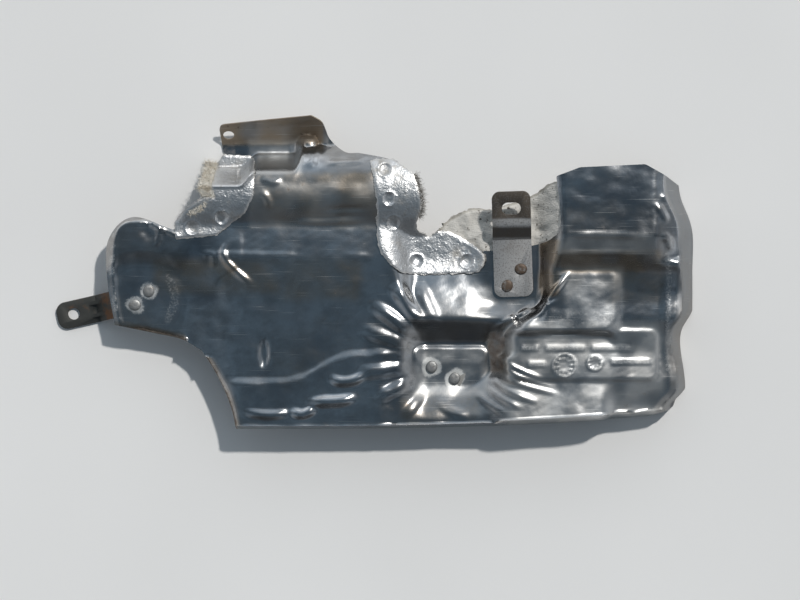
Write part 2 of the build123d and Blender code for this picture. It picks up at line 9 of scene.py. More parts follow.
import bpy
import numpy as np
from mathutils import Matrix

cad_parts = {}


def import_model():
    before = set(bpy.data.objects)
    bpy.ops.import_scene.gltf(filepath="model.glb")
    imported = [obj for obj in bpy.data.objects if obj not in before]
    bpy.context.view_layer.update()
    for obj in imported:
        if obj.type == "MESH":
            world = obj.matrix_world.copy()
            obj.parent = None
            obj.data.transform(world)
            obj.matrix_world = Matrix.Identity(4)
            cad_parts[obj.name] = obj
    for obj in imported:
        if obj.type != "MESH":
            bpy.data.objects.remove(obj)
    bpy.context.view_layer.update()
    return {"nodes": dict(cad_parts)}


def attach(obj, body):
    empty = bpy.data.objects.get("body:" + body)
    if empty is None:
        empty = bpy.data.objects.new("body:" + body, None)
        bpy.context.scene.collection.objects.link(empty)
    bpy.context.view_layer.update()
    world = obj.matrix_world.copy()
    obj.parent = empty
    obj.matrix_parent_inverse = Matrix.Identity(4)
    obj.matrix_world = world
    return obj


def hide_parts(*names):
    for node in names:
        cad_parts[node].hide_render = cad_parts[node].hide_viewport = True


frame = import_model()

# %% [markdown]
# ## Stage
# The photograph looks almost straight down, so the camera hangs high above the paper with a
# long lens, which keeps the tall block from leaning outwards. The lens is worked out from the
# size of one pixel on the part, so the render has the photograph's own framing.
# One soft sun stands at the upper right, opposite the shadows on the paper.

# %% Camera and sun
MM = 0.001
PHOTO_W = 800
PIXEL = 0.61
VIEW_X, VIEW_Y, VIEW_LEVEL = 15.2, -16.5, 18
VIEW_HIGH = 3000
VIEW_END = 20
SENSOR = 36


def add_camera():
    data = bpy.data.cameras.new("photo_camera")
    data.sensor_width = SENSOR
    data.lens = SENSOR * VIEW_HIGH / (PHOTO_W * PIXEL)
    data.clip_end = VIEW_END
    camera = bpy.data.objects.new("photo_camera", data)
    camera.location = (VIEW_X * MM, VIEW_Y * MM, (VIEW_HIGH + VIEW_LEVEL) * MM)
    bpy.context.collection.objects.link(camera)
    bpy.context.scene.camera = camera


SUN_ELEVATION = math.radians(52)
SUN_BEARING = math.radians(55)
SUN_POWER = 2.28
SUN_SOFT = math.radians(3)
SUN_COLOUR = (1, 0.97, 0.93)


def add_sun():
    data = bpy.data.lights.new("soft_sun", "SUN")
    data.energy = SUN_POWER
    data.angle = SUN_SOFT
    data.color = SUN_COLOUR
    sun = bpy.data.objects.new("soft_sun", data)
    sun.rotation_euler = (math.pi / 2 - SUN_ELEVATION, 0, SUN_BEARING + math.pi / 2)
    bpy.context.collection.objects.link(sun)


add_camera()
add_sun()
bpy.context.scene.view_settings.view_transform = "Standard"
print("camera and sun are in place")

# %% [markdown]
# ## Shader arithmetic
# A finish is a graph of nodes. It could be wired by hand in the shader editor, but the sums in
# it read best as plain expressions, so one small class wraps a socket: arithmetic on it adds
# Math nodes, and one method adds every other kind of node.


# %% A socket that can be added and multiplied
class Wire:
    def __init__(self, tree, socket):
        self.tree = tree
        self.socket = socket

    def maths(self, operation, *values):
        return self.node("ShaderNodeMath", {"operation": operation}, dict(enumerate(values)))

    def node(self, kind, settings=None, inputs=None, out=0):
        made = self.tree.nodes.new(kind)
        for name, value in (settings or {}).items():
            if name == "stops":
                ramp = made.color_ramp
                while len(ramp.elements) < len(value):
                    ramp.elements.new(0.5)
                for stop, (place, colour) in zip(ramp.elements, value):
                    stop.position = place
                    stop.color = (*colour, 1) if len(colour) == 3 else colour
            else:
                setattr(made, name, value)
        for name, value in (inputs or {}).items():
            if isinstance(value, Wire):
                self.tree.links.new(value.socket, made.inputs[name])
            elif isinstance(value, (tuple, list)) and len(value) == 3:
                target = made.inputs[name]
                target.default_value = value if len(target.default_value) == 3 else (*value, 1)
            else:
                made.inputs[name].default_value = value
        return Wire(self.tree, made.outputs[out])

    def __add__(self, other):
        return self.maths("ADD", self, other)

    def __radd__(self, other):
        return self.maths("ADD", other, self)

    def __sub__(self, other):
        return self.maths("SUBTRACT", self, other)

    def __rsub__(self, other):
        return self.maths("SUBTRACT", other, self)

    def __mul__(self, other):
        return self.maths("MULTIPLY", self, other)

    def __rmul__(self, other):
        return self.maths("MULTIPLY", other, self)

    def clamp(self, low=0, high=1):
        return self.maths("MINIMUM", self.maths("MAXIMUM", self, low), high)

    def step(self, low, high):
        return self.node("ShaderNodeMapRange", {"interpolation_type": "SMOOTHSTEP"},
                         {"Value": self, "From Min": low, "From Max": high})

    def mix(self, first, second):
        """A colour that goes from first to second as this value goes from 0 to 1."""
        return self.node("ShaderNodeMix", {"data_type": "RGBA"}, {0: self, 6: first, 7: second}, 2)

    def noise(self, scale, detail=3, rough=0.5):
        return self.node("ShaderNodeTexNoise", {}, {
            "Vector": self, "Scale": scale, "Detail": detail, "Roughness": rough})

    def along(self, axis):
        return self.node("ShaderNodeSeparateXYZ", {}, {0: self}, axis)

    def stretch(self, x, y, z, turn=0):
        return self.node("ShaderNodeMapping", {}, {
            "Vector": self, "Rotation": (0, 0, turn), "Scale": (x, y, z)})


def finish(name, paint):
    """A material whose paint function sets the principled shader's sockets."""
    material = bpy.data.materials.new(name)
    material.use_nodes = True
    tree = material.node_tree
    shader = tree.nodes["Principled BSDF"]
    place = Wire(tree, None).node("ShaderNodeTexCoord", {}, {}, "Object")
    for socket, value in paint(place).items():
        if isinstance(value, Wire):
            tree.links.new(value.socket, shader.inputs[socket])
        else:
            shader.inputs[socket].default_value = value
    return material


def bump(height, strength, distance):
    return height.node("ShaderNodeBump", {}, {
        "Strength": strength, "Distance": distance, "Height": height})


print("shader arithmetic is ready")

# %% [markdown]
# ## Sky and paper
# Bright metal shows what is around it, so the sky is painted for this part: slate overhead for
# the level faces, a pale horizon for the slopes, and a dark side behind the viewer for the walls
# that face down the picture. A ramp on the direction's height does that, with soft clouds on it.
# The paper is a wide flat sheet with a faint grain.

# %% World and floor
SKY = ((0, (0.66, 0.68, 0.70)), (0.30, (0.56, 0.59, 0.62)), (0.62, (0.25, 0.29, 0.33)),
       (0.86, (0.108, 0.145, 0.18)), (1, (0.080, 0.117, 0.152)))
DARK_SIDE = (0.05, 0.055, 0.06)
CLOUD_LOW, CLOUD_GAIN, NORTH_GAIN = 0.56, 0.80, 0.8
PAPER, PAPER_SHADE = (0.80, 0.795, 0.785), 0.965
PAPER_HALF = 2.2


def paint_sky():
    world = bpy.data.worlds.new("sky")
    world.use_nodes = True
    bpy.context.scene.world = world
    tree = world.node_tree
    place = Wire(tree, None).node("ShaderNodeTexCoord", {}, {}, "Generated")
    height, north = place.along("Z"), place.along("Y")
    colour = height.node("ShaderNodeValToRGB", {"stops": SKY}, {0: height})
    colour = north.step(-0.40, -1).mix(colour, DARK_SIDE)
    strength = CLOUD_LOW + CLOUD_GAIN * place.noise(3.2, 4, 0.6).step(0.34, 0.66)
    strength = strength * (1 + NORTH_GAIN * north.step(0.08, 0.7))
    tree.links.new(colour.socket, tree.nodes["Background"].inputs["Color"])
    tree.links.new(strength.socket, tree.nodes["Background"].inputs["Strength"])


def paper(place):
    grain = place.noise(900, 4)
    cloud = place.noise(5, 2)
    colour = cloud.step(0.3, 0.7).mix(PAPER, tuple(PAPER_SHADE * c for c in PAPER))
    return {"Base Color": colour, "Roughness": 0.85, "Normal": bump(grain, 0.08, 0.0003)}


def add_floor():
    bpy.ops.object.select_all(action="DESELECT")
    bpy.ops.mesh.primitive_grid_add(x_subdivisions=8, y_subdivisions=8, size=2 * PAPER_HALF)
    floor = bpy.context.object
    floor.name = "paper_floor"
    floor.data.materials.append(finish("paper", paper))


paint_sky()
add_floor()
print("sky and paper are in place")

# %% [markdown]
# ## The press tool
# The shield is one pressed sheet, so its form is written as a press tool: a height in millimetres
# for every place in plan. Straight ramps with rounded ends make the folds, and soft highs and lows
# join the forms as a press radius does. The CAD solid has the same main forms on a coarser net.

# %% Soft steps and fillets
SHEET_T = 0.8


def ease(t):
    """A smooth step from 0 to 1."""
    t = np.clip(t, 0, 1)
    return t * t * t * (t * (6 * t - 15) + 10)


def past(v, start, width):
    """0 up to a place and 1 beyond it by a width, smoothly."""
    return ease((v - start) / width)


def before(v, start, width):
    """0 down to a place and 1 below it by a width, smoothly."""
    return ease((start - v) / width)


def high(a, b, r):
    """The higher of two forms, with a fillet where they cross."""
    h = np.maximum(r - np.abs(a - b), 0) / r
    return np.maximum(a, b) + h * h * h * r / 6


def low(a, b, r):
    return -high(-a, -b, r)


def ramp(d, width, r):
    """A straight slope from 0 to 1 with rounded ends."""
    return low(high(d / width, 0, r / width), 1, r / width)


def smooth_run(points, step=1.5):
    """A smooth curve through a few points, without its last point."""
    p = np.array(points, float)
    p = np.vstack([2 * p[0] - p[1], p, 2 * p[-1] - p[-2]])
    out = []
    for a, b, c, d in zip(p, p[1:], p[2:], p[3:]):
        count = max(int(np.hypot(*(c - b)) / step), 1)
        t = (np.arange(count) / count)[:, None]
        out.append(0.5 * (2 * b + (c - a) * t + (2 * a - 5 * b + 4 * c - d) * t ** 2
                          + (3 * b - a - 3 * c + d) * t ** 3))
    return np.vstack(out)


def straight_run(points, step=1.5):
    """Straight pieces through a few points, without the last point."""
    out = []
    for a, b in zip(np.array(points, float), np.array(points[1:], float)):
        count = max(int(np.hypot(*(b - a)) / step), 1)
        out.append(a + (b - a) * (np.arange(count) / count)[:, None])
    return np.vstack(out)


def plateau(x, y, x0, x1, y0, y1, corner):
    """How far a place lies inside a round-cornered rectangle, up to its corner radius."""
    dx = np.maximum(np.abs(2 * x - x0 - x1) / 2 - (x1 - x0) / 2 + corner, 0)
    dy = np.maximum(np.abs(2 * y - y0 - y1) / 2 - (y1 - y0) / 2 + corner, 0)
    return corner - np.hypot(dx, dy)


def band(v, start, end, soft):
    """1 between two lines, fading over a soft width outside them."""
    return ease((v - start + soft) / soft) * ease((end + soft - v) / soft)


def off_path(x, y, path):
    """The distance from a path of straight pieces, and how far along it that is, from 0 to 1."""
    best, along, run = np.full(np.shape(x), 1e9), np.zeros(np.shape(x)), 0
    path = np.array(path, float)
    total = np.hypot(*np.diff(path, axis=0).T).sum()
    for (x0, y0), (x1, y1) in zip(path, path[1:]):
        dx, dy = x1 - x0, y1 - y0
        length = math.hypot(dx, dy)
        s = np.clip(((x - x0) * dx + (y - y0) * dy) / length ** 2, 0, 1)
        d = np.hypot(x - x0 - s * dx, y - y0 - s * dy)
        along = np.where(d < best, (run + s * length) / total, along)
        best = np.minimum(best, d)
        run += length
    return best, along


def fold(x, y, path, half, rise):
    """A fold of rounded section along a path, fading towards both of its ends."""
    if len(path) > 2:
        path = smooth_run(path + (path[-1],), 2)
    d, s = off_path(x, y, path)
    return rise * ease(1 - d / (1.6 * half)) * ease(2.6 * s) * ease(2.6 * (1 - s))


def waves(x, y, length, seed, count=9):
    """Smooth irregular waves of about one length, from -1 to 1."""
    rng = np.random.default_rng(seed)
    total = 0
    for _ in range(count):
        turn = rng.uniform(0, 2 * math.pi)
        size = 2 * math.pi / length * rng.uniform(0.6, 1.6)
        run = x * math.cos(turn) + y * math.sin(turn)
        total = total + np.sin(size * run + rng.uniform(0, 2 * math.pi))
    return total / math.sqrt(count)


def scatter(cx, cy, seed):
    """A fixed number from 0 to 1 for every cell of a grid."""
    return np.modf(np.abs(np.sin(cx * 127.1 + cy * 311.7 + seed * 74.7) * 43758.5453))[0]


def crumple(x, y, size, seed, sharp=14):
    """Small tilted facets with creases between them, as in crushed foil."""
    gx, gy = np.floor(x / size), np.floor(y / size)
    total, weight = 0, 1e-9
    for i in (-1, 0, 1):
        for j in (-1, 0, 1):
            cx, cy = gx + i, gy + j
            dx = x - (cx + scatter(cx, cy, seed)) * size
            dy = y - (cy + scatter(cx, cy, seed + 1)) * size
            w = np.exp(-sharp * (dx * dx + dy * dy) / (size * size))
            facet = (scatter(cx, cy, seed + 2) - 0.5) * dx + (scatter(cx, cy, seed + 3) - 0.5) * dy
            total = total + w * (facet + (scatter(cx, cy, seed + 4) - 0.5) * 0.3 * size)
            weight = weight + w
    return total / weight


print("soft steps are ready")

# %% [markdown]
# ## Body, lobe and barrel
# The left half of the real part is a rolled sheet with a round lobe at its end, a half barrel
# along its upper side and a leaning bolt flange behind that. It could be sculpted, but a press
# works from a drawing, so each form is a short sum: a level, a roll-off and a turned-down lip.

# %% Edges of the sheet
HEM_Y, HEM_BOW, HEM_X0, HEM_X1 = -95.2, 8, -85, 168
SIDE_Y, SIDE_REACH, SIDE_RISE, SIDE_BOW = -47, 22, 50, 1.6
RIM_X = 194.6
# Each step of the right edge: where it starts, its width and its shift.
RIM_TOP, RIM_STEPS = (22, 34, -8.5), ((-21, 19, -7.5), (-40, 25, 3), (-68, 16, -9))
LOBE_X, LOBE_Y, LOBE_RX, LOBE_RY = -140, 1, 23, 34
LOBE_SQUARE, LOBE_CUT, LOBE_SLOPE = 3.5, 4.5, 0.45
LOBE_FOOT_X, LOBE_FOOT_Y, FOOT_SLOPE = -158.6, -31.7, 0.21
AWAY = 200


def hem_line(x):
    """The bottom edge, which bows up towards the right."""
    return HEM_Y + HEM_BOW * np.maximum((x - HEM_X0) / (HEM_X1 - HEM_X0), 0) ** 3


def side_line(y):
    """The left lower edge of the body."""
    return HEM_X0 - SIDE_REACH * (np.maximum(y - HEM_Y, 0) / SIDE_RISE) ** SIDE_BOW


def rim_line(y):
    """The right edge, with a waist beside the label panel."""
    x = RIM_X + RIM_TOP[2] * past(y, *RIM_TOP[:2])
    for start, width, shift in RIM_STEPS:
        x = x + shift * before(y, start, width)
    return x


def lobe_edge(x, y):
    """How far a place lies inside the lobe's left and upper edge."""
    below = x - LOBE_X + LOBE_RX - LOBE_CUT * ((LOBE_Y - y) / LOBE_RY) ** 2
    above = LOBE_Y + LOBE_RY - LOBE_SLOPE * (x - LOBE_X) - y
    u = np.maximum(LOBE_X - x, 0) / LOBE_RX
    v = np.maximum(y - LOBE_Y, 0) / LOBE_RY
    r = (u ** LOBE_SQUARE + v ** LOBE_SQUARE) ** (1 / LOBE_SQUARE)
    p = LOBE_SQUARE - 1
    turn = np.hypot(u ** p / LOBE_RX, v ** p / LOBE_RY) / np.maximum(r, 0.3) ** p
    corner = (1 - r) / np.maximum(turn, 0.02)
    return np.where(y < LOBE_Y, below, np.where(x > LOBE_X, above, corner))


def left_edge(x, y):
    """How far a place lies inside the turned-down edge from the lobe to the bottom wall."""
    upper = lobe_edge(x, y) + AWAY * past(x, LOBE_X + 2, 20)
    foot = y - LOBE_FOOT_Y + FOOT_SLOPE * (x - LOBE_FOOT_X) + AWAY * past(x, -116, 10)
    side = 0.85 * (x - side_line(y)) + AWAY * past(y, -52, 8)
    return np.minimum(np.minimum(upper, foot), side)


print("bottom edge runs from", hem_line(HEM_X0), "to", hem_line(HEM_X1), "mm")

# %% Body, barrel and flange
BODY_Z, CREST_Y, BODY_FALL = 27, 14, 0.03
LOBE_BREAK_X, LOBE_BREAK, LOBE_DROP, LOBE_BACK = -74, 52, 6.5, 3
ROLL_Y, ROLL_SHIFT, ROLL_R = 11, 38, 7
ROLL_W, ROLL_W_EAST, ROLL_DROP, ROLL_DROP_EAST = 20, 34, 2.5, 11
BARREL_Y, BARREL_R, BARREL_TOP, BARREL_END = 49.5, 30, 30.5, 30
BARREL_X0, BARREL_X1, BARREL_LEAN = -112, 30, math.radians(64)
RECESS_X, RECESS_Y, RECESS_Z, RECESS_LEAN = -45, 73, -2, 2.4
RECESS_LEFT_X, RECESS_SHIFT, STRIP_Z = -70, 8.5, 12
FLANGE_Y, FLANGE_LEAN = 79, 0.95
BEAD_X, BEAD_Z, BEAD_HALF = -40, 14, 9.5


def body(x, y):
    """The rolled main sheet, which falls off towards the lobe and behind its crest."""
    z = BODY_Z - BODY_FALL * high(CREST_Y - y, 0, 12)
    z = z - before(x, LOBE_BREAK_X, LOBE_BREAK) * (LOBE_DROP - LOBE_BACK * past(y, -5, 24))
    shift = past(x, 2, 26)
    drop = (ROLL_DROP + (ROLL_DROP_EAST - ROLL_DROP) * shift) * past(x, -120, 30)
    wide = ROLL_W + (ROLL_W_EAST - ROLL_W) * shift
    return z - drop * ramp(y - ROLL_Y + ROLL_SHIFT * shift, wide, ROLL_R)


def barrel(x, y):
    """A half barrel whose sides run on straight, and which sinks away at both ends."""
    d = np.abs(y - BARREL_Y)
    sunk = past(x, BARREL_X1, BARREL_END) + before(x, BARREL_X0, BARREL_END)
    top = BARREL_TOP - BARREL_END * sunk
    reach = BARREL_R * math.sin(BARREL_LEAN)
    arch = top - BARREL_R + np.sqrt(np.maximum(BARREL_R ** 2 - d * d, 0))
    foot = top - BARREL_R + BARREL_R * math.cos(BARREL_LEAN)
    return np.where(d < reach, arch, foot - (d - reach) * math.tan(BARREL_LEAN))


def upper_left(x, y):
    """The floor of the recess, the leaning flange behind it and the bead between them."""
    z = (STRIP_Z - RECESS_Z) * past(x, RECESS_X, 16) + RECESS_Z
    z = high(z, (y - FLANGE_Y) * FLANGE_LEAN + 0.35 * (z - RECESS_Z), 6)
    bead = BEAD_Z * ease(1.05 - np.abs(x - BEAD_X) / (1.15 * BEAD_HALF))
    return high(z, bead * before(y, 90, 12), 4)


def with_barrel(x, y, z):
    """The barrel, the recess and the flange join the body on the left."""
    west = before(x, 58, 24)
    beyond = 40 * past(y, BARREL_Y, 16) * past(x, -150, 50)
    left = high(z - beyond, barrel(x, y), 5)
    shift = RECESS_SHIFT * before(x, RECESS_LEFT_X, 14)
    recess = RECESS_LEAN * (RECESS_Y - shift - y) + 30 * past(x, RECESS_X - 6, 12)
    left = np.where(y > BARREL_Y, high(low(left, recess, 6), upper_left(x, y), 4), left)
    return left * west + z * (1 - west)


print("body, lobe and barrel are ready")

# %% [markdown]
# ## Block, creases and folds
# The right half of the part is a high block with a stepped slope, a pillow and the label panel,
# and a wall on its left side. Each step down the slope is one row of a table, because steps that
# differ only in their numbers are easier to tune there than in the code.

# %% Block
BLOCK_X, BLOCK_LEAN, ROOF_Z, ROOF_Y = 105, 1.45, 40, 23
FACET_X, PILLOW_X0, PILLOW_X1 = 170, 84, 150
LABEL_X0, LABEL_X1, LABEL_Y0, LABEL_Y1, LABEL_RISE = 78, 173, -66.5, -39, 1.2
STRAP_SEAT_Z, TAB_SEAT_Z = 20, 20
# Each step: where it starts, its width, its radius and its rise.
BLOCK_STEPS = ((ROOF_Y, 9, 3, -3), (13, 12, 5, -6.5), (-1, 32, 6, 2),
               (LABEL_Y0, 18, 5, 1.5))


def block(x, y):
    z = ROOF_Z - 0.08 * high(y - ROOF_Y, 0, 4) - 0.03 * (x - BLOCK_X)
    z = z - 0.4 * high(x - FACET_X, 0, 3) * past(y, 4, 8)
    for start, width, radius, rise in BLOCK_STEPS:
        z = z + rise * ramp(start - y, width, radius)
    z = z + 1.3 * ramp(plateau(x, y, PILLOW_X0, PILLOW_X1, -38, 3, 8), 4.2, 1.6)
    soft = past(x, 138, 14)
    z = z - 5 * ramp(8 * soft - 34 - y, 4 + 18 * soft, 2 + 4 * soft)
    z = z - 6 * past(x, 120, 70) * before(y, 10, 30)
    wall = STRAP_SEAT_Z - 1 + (x - BLOCK_X + 6) * BLOCK_LEAN
    wall = wall + 30 * before(y, -12, 26) + 40 * before(y, -46, 20)
    return low(z, wall, 7)


def with_block(x, y, z):
    """The block stands on the right of the body, which sinks before the label panel."""
    east = past(x, 62, 26)
    sink = 8 * before(y, -24, 20)
    return z * (1 - east) + high(z - sink, block(x, y), 6) * east


print("block roof:", float(block(np.array([130.0]), np.array([30.0]))[0]), "mm")

# %% Creases and folds
# Each crease: its path, half its width and its rise.
CREASES = (
    (((-84.8, 22), (-91, 16), (-92.1, 10), (-84.8, 1.2), (-71.4, -9.8)), 2.1, 1.2),
    (((-106, 11), (-96, 11.5)), 2, 0.35),
    (((-118, 12.5), (-90, 11), (-32, 9.5)), 2.4, 0.5),
    (((-24, 11), (3, 9)), 2.2, 0.3),
    (((-44, -80), (-34, -78.4), (-20, -77.6), (-8, -74.6)), 3, 2.5),
    (((-30, -62), (-22, -66), (-12, -65), (-4, -60)), 2.6, 2),
    (((-84, -84), (-66, -86.4), (-48, -85)), 2.4, 1.6),
    (((-54, -83), (-44, -86), (-34, -81)), 2.6, 2.2),
    (((121, 4), (113, -6), (106, -15), (100, -25), (88, -31)), 1.5, 2.2),
    (((114, -15), (101, -21), (89, -25), (70, -34)), 1.4, 1.9),
    (((104, -4), (97, -18), (84, -28)), 1.3, 1.5),
    (((100, 4), (101, -8), (96, -16)), 2, 1.4),
    (((87, -22), (86, -29), (90, -35.5)), 1.8, -1.8),
    (((90, -35.8), (116, -36.4), (140, -35.6)), 1.6, -1.3),
    (((-143, 31), (-139, 26), (-134, 18)), 4, -0.6),
    (((-134, 31), (-131, 24), (-134, 14)), 2, 0.9),
    (((-158, 12), (-155.5, -6), (-156, -22)), 1.8, 0.8),
    (((-124.5, -3), (-121.5, -12), (-122, -22), (-125.5, -31)), 2.2, 0.5),
    (((66, -60), (80, -71), (102, -80)), 1.7, 1.2),
    (((66, -55), (84, -66), (116, -75)), 1.5, 1),
    (((58, -70), (70, -80), (82, -87)), 2, 1.3),
    (((70, -49), (86, -58), (106, -66)), 1.4, 0.7),
    (((70, -52), (88, -63), (112, -70)), 1.4, 0.7),
    (((64, -66), (78, -77), (92, -84)), 1.6, 1),
    (((34, -76), (46, -84), (60, -88)), 2.6, 0.9),
    (((-33, 66.5), (-20, 67), (-4, 68)), 1.8, 0.8),
    (((-56, 31.5), (-28, 31), (1, 33)), 2, 0.9),
    (((-34, 38), (-16, 39.5), (0, 39)), 1.8, -0.7),
    (((170, 46), (180, 45.5), (188, 44)), 2.2, 1),
    (((170, 44), (174, 37), (178, 29)), 2, 0.9),
    (((172, 24), (178, 20), (180, 12)), 2.4, 0.9),
    (((179, 12), (178, -20), (179, -66)), 4, 0.8),
    (((108, 23.4), (140, 23), (172, 22.4)), 1.7, 0.6),
    (((110, 12.9), (140, 12.6), (168, 12.6)), 1.6, 0.4),
    (((-50.6, 83), (-50, 75), (-51.5, 65)), 1.8, 1),
    (((-38.6, 79), (-38.4, 72), (-40, 62)), 3.4, 1),
    (((-99, 13), (-98, 8), (-99.5, 3)), 1.8, 0.5),
    (((66, -36), (74, -40), (84, -43)), 1.6, 0.8),
    (((66, -45), (75, -49), (84, -50)), 1.6, -0.8),
    (((67, -53), (76, -57), (86, -60)), 1.6, 0.8),
    (((-70, 58), (-62, 55), (-56, 57.5)), 2.2, 0.8),
    (((-71, 50), (-66, 46), (-63, 38)), 2.2, 0.8),
)
# Each fold runs out from the pocket: its far end, half its width and its rise.
FOLDS = ((24, -2, 4, 1.4), (8, -3, 4.6, 2.4), (-6, -16, 4.2, 2), (-14, -32, 4.4, 1.3),
         (-6, -47, 2.6, 0.7), (-16, -62, 4.2, 1.5), (-2, -78, 3.8, 1.8), (16, -90, 3, 1.2))
FOLD_X, FOLD_Y, FOLD_FOOT = 46, -54.5, 20
LEAF_X, LEAF_Y, LEAF_RX, LEAF_RY, LEAF_DEEP = -67.5, -49, 5, 12, 1.6


def pressed_details(x, y):
    """The step across the body, creases, a leaf-shaped dent, the label panel and the folds."""
    step_y = -63.5 + 17 * past(x, -62, 56)
    z = 1.6 * ramp(step_y - y, 4, 1.5) * past(x, -96, 14) * before(x, 14, 14)
    for path, half, rise in CREASES:
        z = z + fold(x, y, path, half, rise)
    leaf = 1 - np.hypot((x - LEAF_X) / LEAF_RX, (y - LEAF_Y) / LEAF_RY)
    z = z - LEAF_DEEP * ease(1.25 * leaf)
    label = plateau(x, y, LABEL_X0, LABEL_X1, LABEL_Y0, LABEL_Y1 + 6, 6)
    z = z + LABEL_RISE * ramp(label, 2.5, 0.8)
    for end_x, end_y, half, rise in FOLDS:
        way = FOLD_FOOT / math.hypot(end_x - FOLD_X, end_y - FOLD_Y)
        foot = (FOLD_X + (end_x - FOLD_X) * way, FOLD_Y + (end_y - FOLD_Y) * way)
        z = z + fold(x, y, (foot, (end_x, end_y)), half, rise)
    return z


print(len(CREASES), "creases and", len(FOLDS), "folds are drawn")

# %% [markdown]
# ## Pocket, seats and turned-down edges
# A pocket is pressed down before the panel, flat seats take the strap and the tab, and every
# edge turns down. Each is a blend: how much of the new form holds at a place, from 0 to 1, mixes
# its level with what was there before, as a later stroke of the press does.

# %% The whole press tool
POCKET_X0, POCKET_X1, POCKET_Y0, POCKET_Y1, POCKET_Z = 17, 79, -86, -28, 15.5
PAD_X0, PAD_X1, PAD_Y0, PAD_Y1, PAD_RISE = 23, 69, -99, -44.5, 1.5
TAB_RIVETS = ((-137.9, -11), (-146.4, -19.5))
STRAP_RIVETS = ((88.8, 2.4), (80.5, -7.9))
POCKET_RIVETS = ((34.5, -57.3), (48.5, -64.4))
TAB_MID = np.mean(TAB_RIVETS, axis=0)
TAB_W, TAB_SEAT_R = 16.5, 29
SEAT_X0, SEAT_X1, SEAT_Y0, SEAT_Y1 = 57, 105, -30, 30
HEM_Z, HEM_LEAN, STEP_X = 12, 5, 142
LIP_H, LIP_LOW_H, LIP_LEAN = 5, 2.5, 1.1
RIM_TUCK, RIM_LEAN = 0.5, 3.2
ROLL_IN, ROLL_HALF, ROLL_RISE = 3.6, 2.6, 0.9


def with_pocket(x, y, z):
    """The pocket is pressed to one level, with a raised pad in its floor."""
    open_side = before(y, -56, 24)
    sway = 1.2 * waves(0.2 * x, y, 22, 12)
    dip = ramp(x - POCKET_X0 + 2, 14, 5)
    dip = dip * ramp(POCKET_X1 + sway + 10 * open_side - x, 9 + 30 * open_side, 4)
    dip = dip * ramp(POCKET_Y1 - y, 14, 3) * ramp(y - POCKET_Y0 + 2, 19, 6)
    side = 1.6 + 8 * before(y, -50, 12)
    pad = ramp(plateau(x, y, PAD_X0, PAD_X1, PAD_Y0, PAD_Y1, 5), side, 0.4 * side)
    return z * (1 - dip) + POCKET_Z * dip + PAD_RISE * pad * past(y, -82, 26)


def with_seats(x, y, z):
    """Flat seats for the strap and for the bolt tab."""
    seat = ramp(x - SEAT_X0, 14, 4) * ramp(SEAT_X1 - x, 7, 2)
    seat = seat * ramp(y - SEAT_Y0, 14, 4) * ramp(SEAT_Y1 - y, 6, 2)
    z = z * (1 - seat) + STRAP_SEAT_Z * seat
    seat = ramp(TAB_SEAT_R - np.hypot(x - TAB_MID[0], y - TAB_MID[1]), 12, 3)
    return z * (1 - seat) + TAB_SEAT_Z * seat


def with_edges(x, y, z):
    """The bottom wall, the rolled lobe, the left lip and the right rim."""
    corner = past(x, STEP_X - 7, 14)
    z = z - 5 * corner * ramp(-66 - y, 16, 5)
    hem = HEM_Z * (1 - corner) + HEM_LEAN * (y - hem_line(x)) + 60 * before(x, -92, 6)
    z = np.where(y < -60, low(z, high(hem, 0, 3), 3), z)
    roll = ROLL_RISE * ease(1 - np.abs(lobe_edge(x, y) - ROLL_IN) / ROLL_HALF) * before(x, -114, 12)
    z = z + roll * band(y, -28, 30, 5)
    gap = ease(1.7 - np.abs(y - TAB_MID[1]) / TAB_W) * before(x, LOBE_X, 12)
    lip = (LIP_LOW_H + (LIP_H - LIP_LOW_H) * past(y, -34, 12)) * (1 - gap)
    lip = z - lip + LIP_LEAN * high(left_edge(x, y), -2, 1)
    z = np.where(x < -60, low(z, lip, 2.5), z)
    return np.where(x > 140, low(z, RIM_LEAN * (rim_line(y) - RIM_TUCK - x), 4), z)


def tool_height(x, y):
    """The underside of the pressed sheet, in millimetres."""
    z = with_block(x, y, with_barrel(x, y, body(x, y)))
    z = z + pressed_details(x, y)
    z = with_seats(x, y, with_pocket(x, y, z))
    return high(with_edges(x, y, z), 0, 2)


def lean(x, y):
    """How much longer a wall is upright than square to the sheet."""
    e = 0.2
    sx = (tool_height(x + e, y) - tool_height(x - e, y)) / (2 * e)
    sy = (tool_height(x, y + e) - tool_height(x, y - e)) / (2 * e)
    return np.sqrt(1 + sx * sx + sy * sy)


def skin(x, y, lift):
    """The height of a skin that lies a distance above the underside of the sheet."""
    return tool_height(x, y) + lift * lean(x, y)


print("press tool: highest point", float(tool_height(np.array([130.0]), np.array([30.0]))[0]), "mm")

# %% [markdown]
# ## Cutting a net to an outline
# A pressed blank starts as a flat sheet. A boolean cut would leave long thin faces that crease
# when they are bent, so each blank is a fine square net: the cells outside its outline are
# deleted, and the points along the cut are moved onto the outline, which runs clean at any angle.


# %% Outlines and nets
def inside(x, y, edge):
    """Which places lie inside a closed outline."""
    ax, ay = edge.T
    bx, by = np.roll(edge, -1, axis=0).T
    found = np.zeros(x.shape, bool)
    for x0, y0, x1, y1 in zip(ax, ay, bx, by):
        if y0 != y1:
            found ^= ((y0 > y) != (y1 > y)) & (x < (x1 - x0) * (y - y0) / (y1 - y0) + x0)
    return found


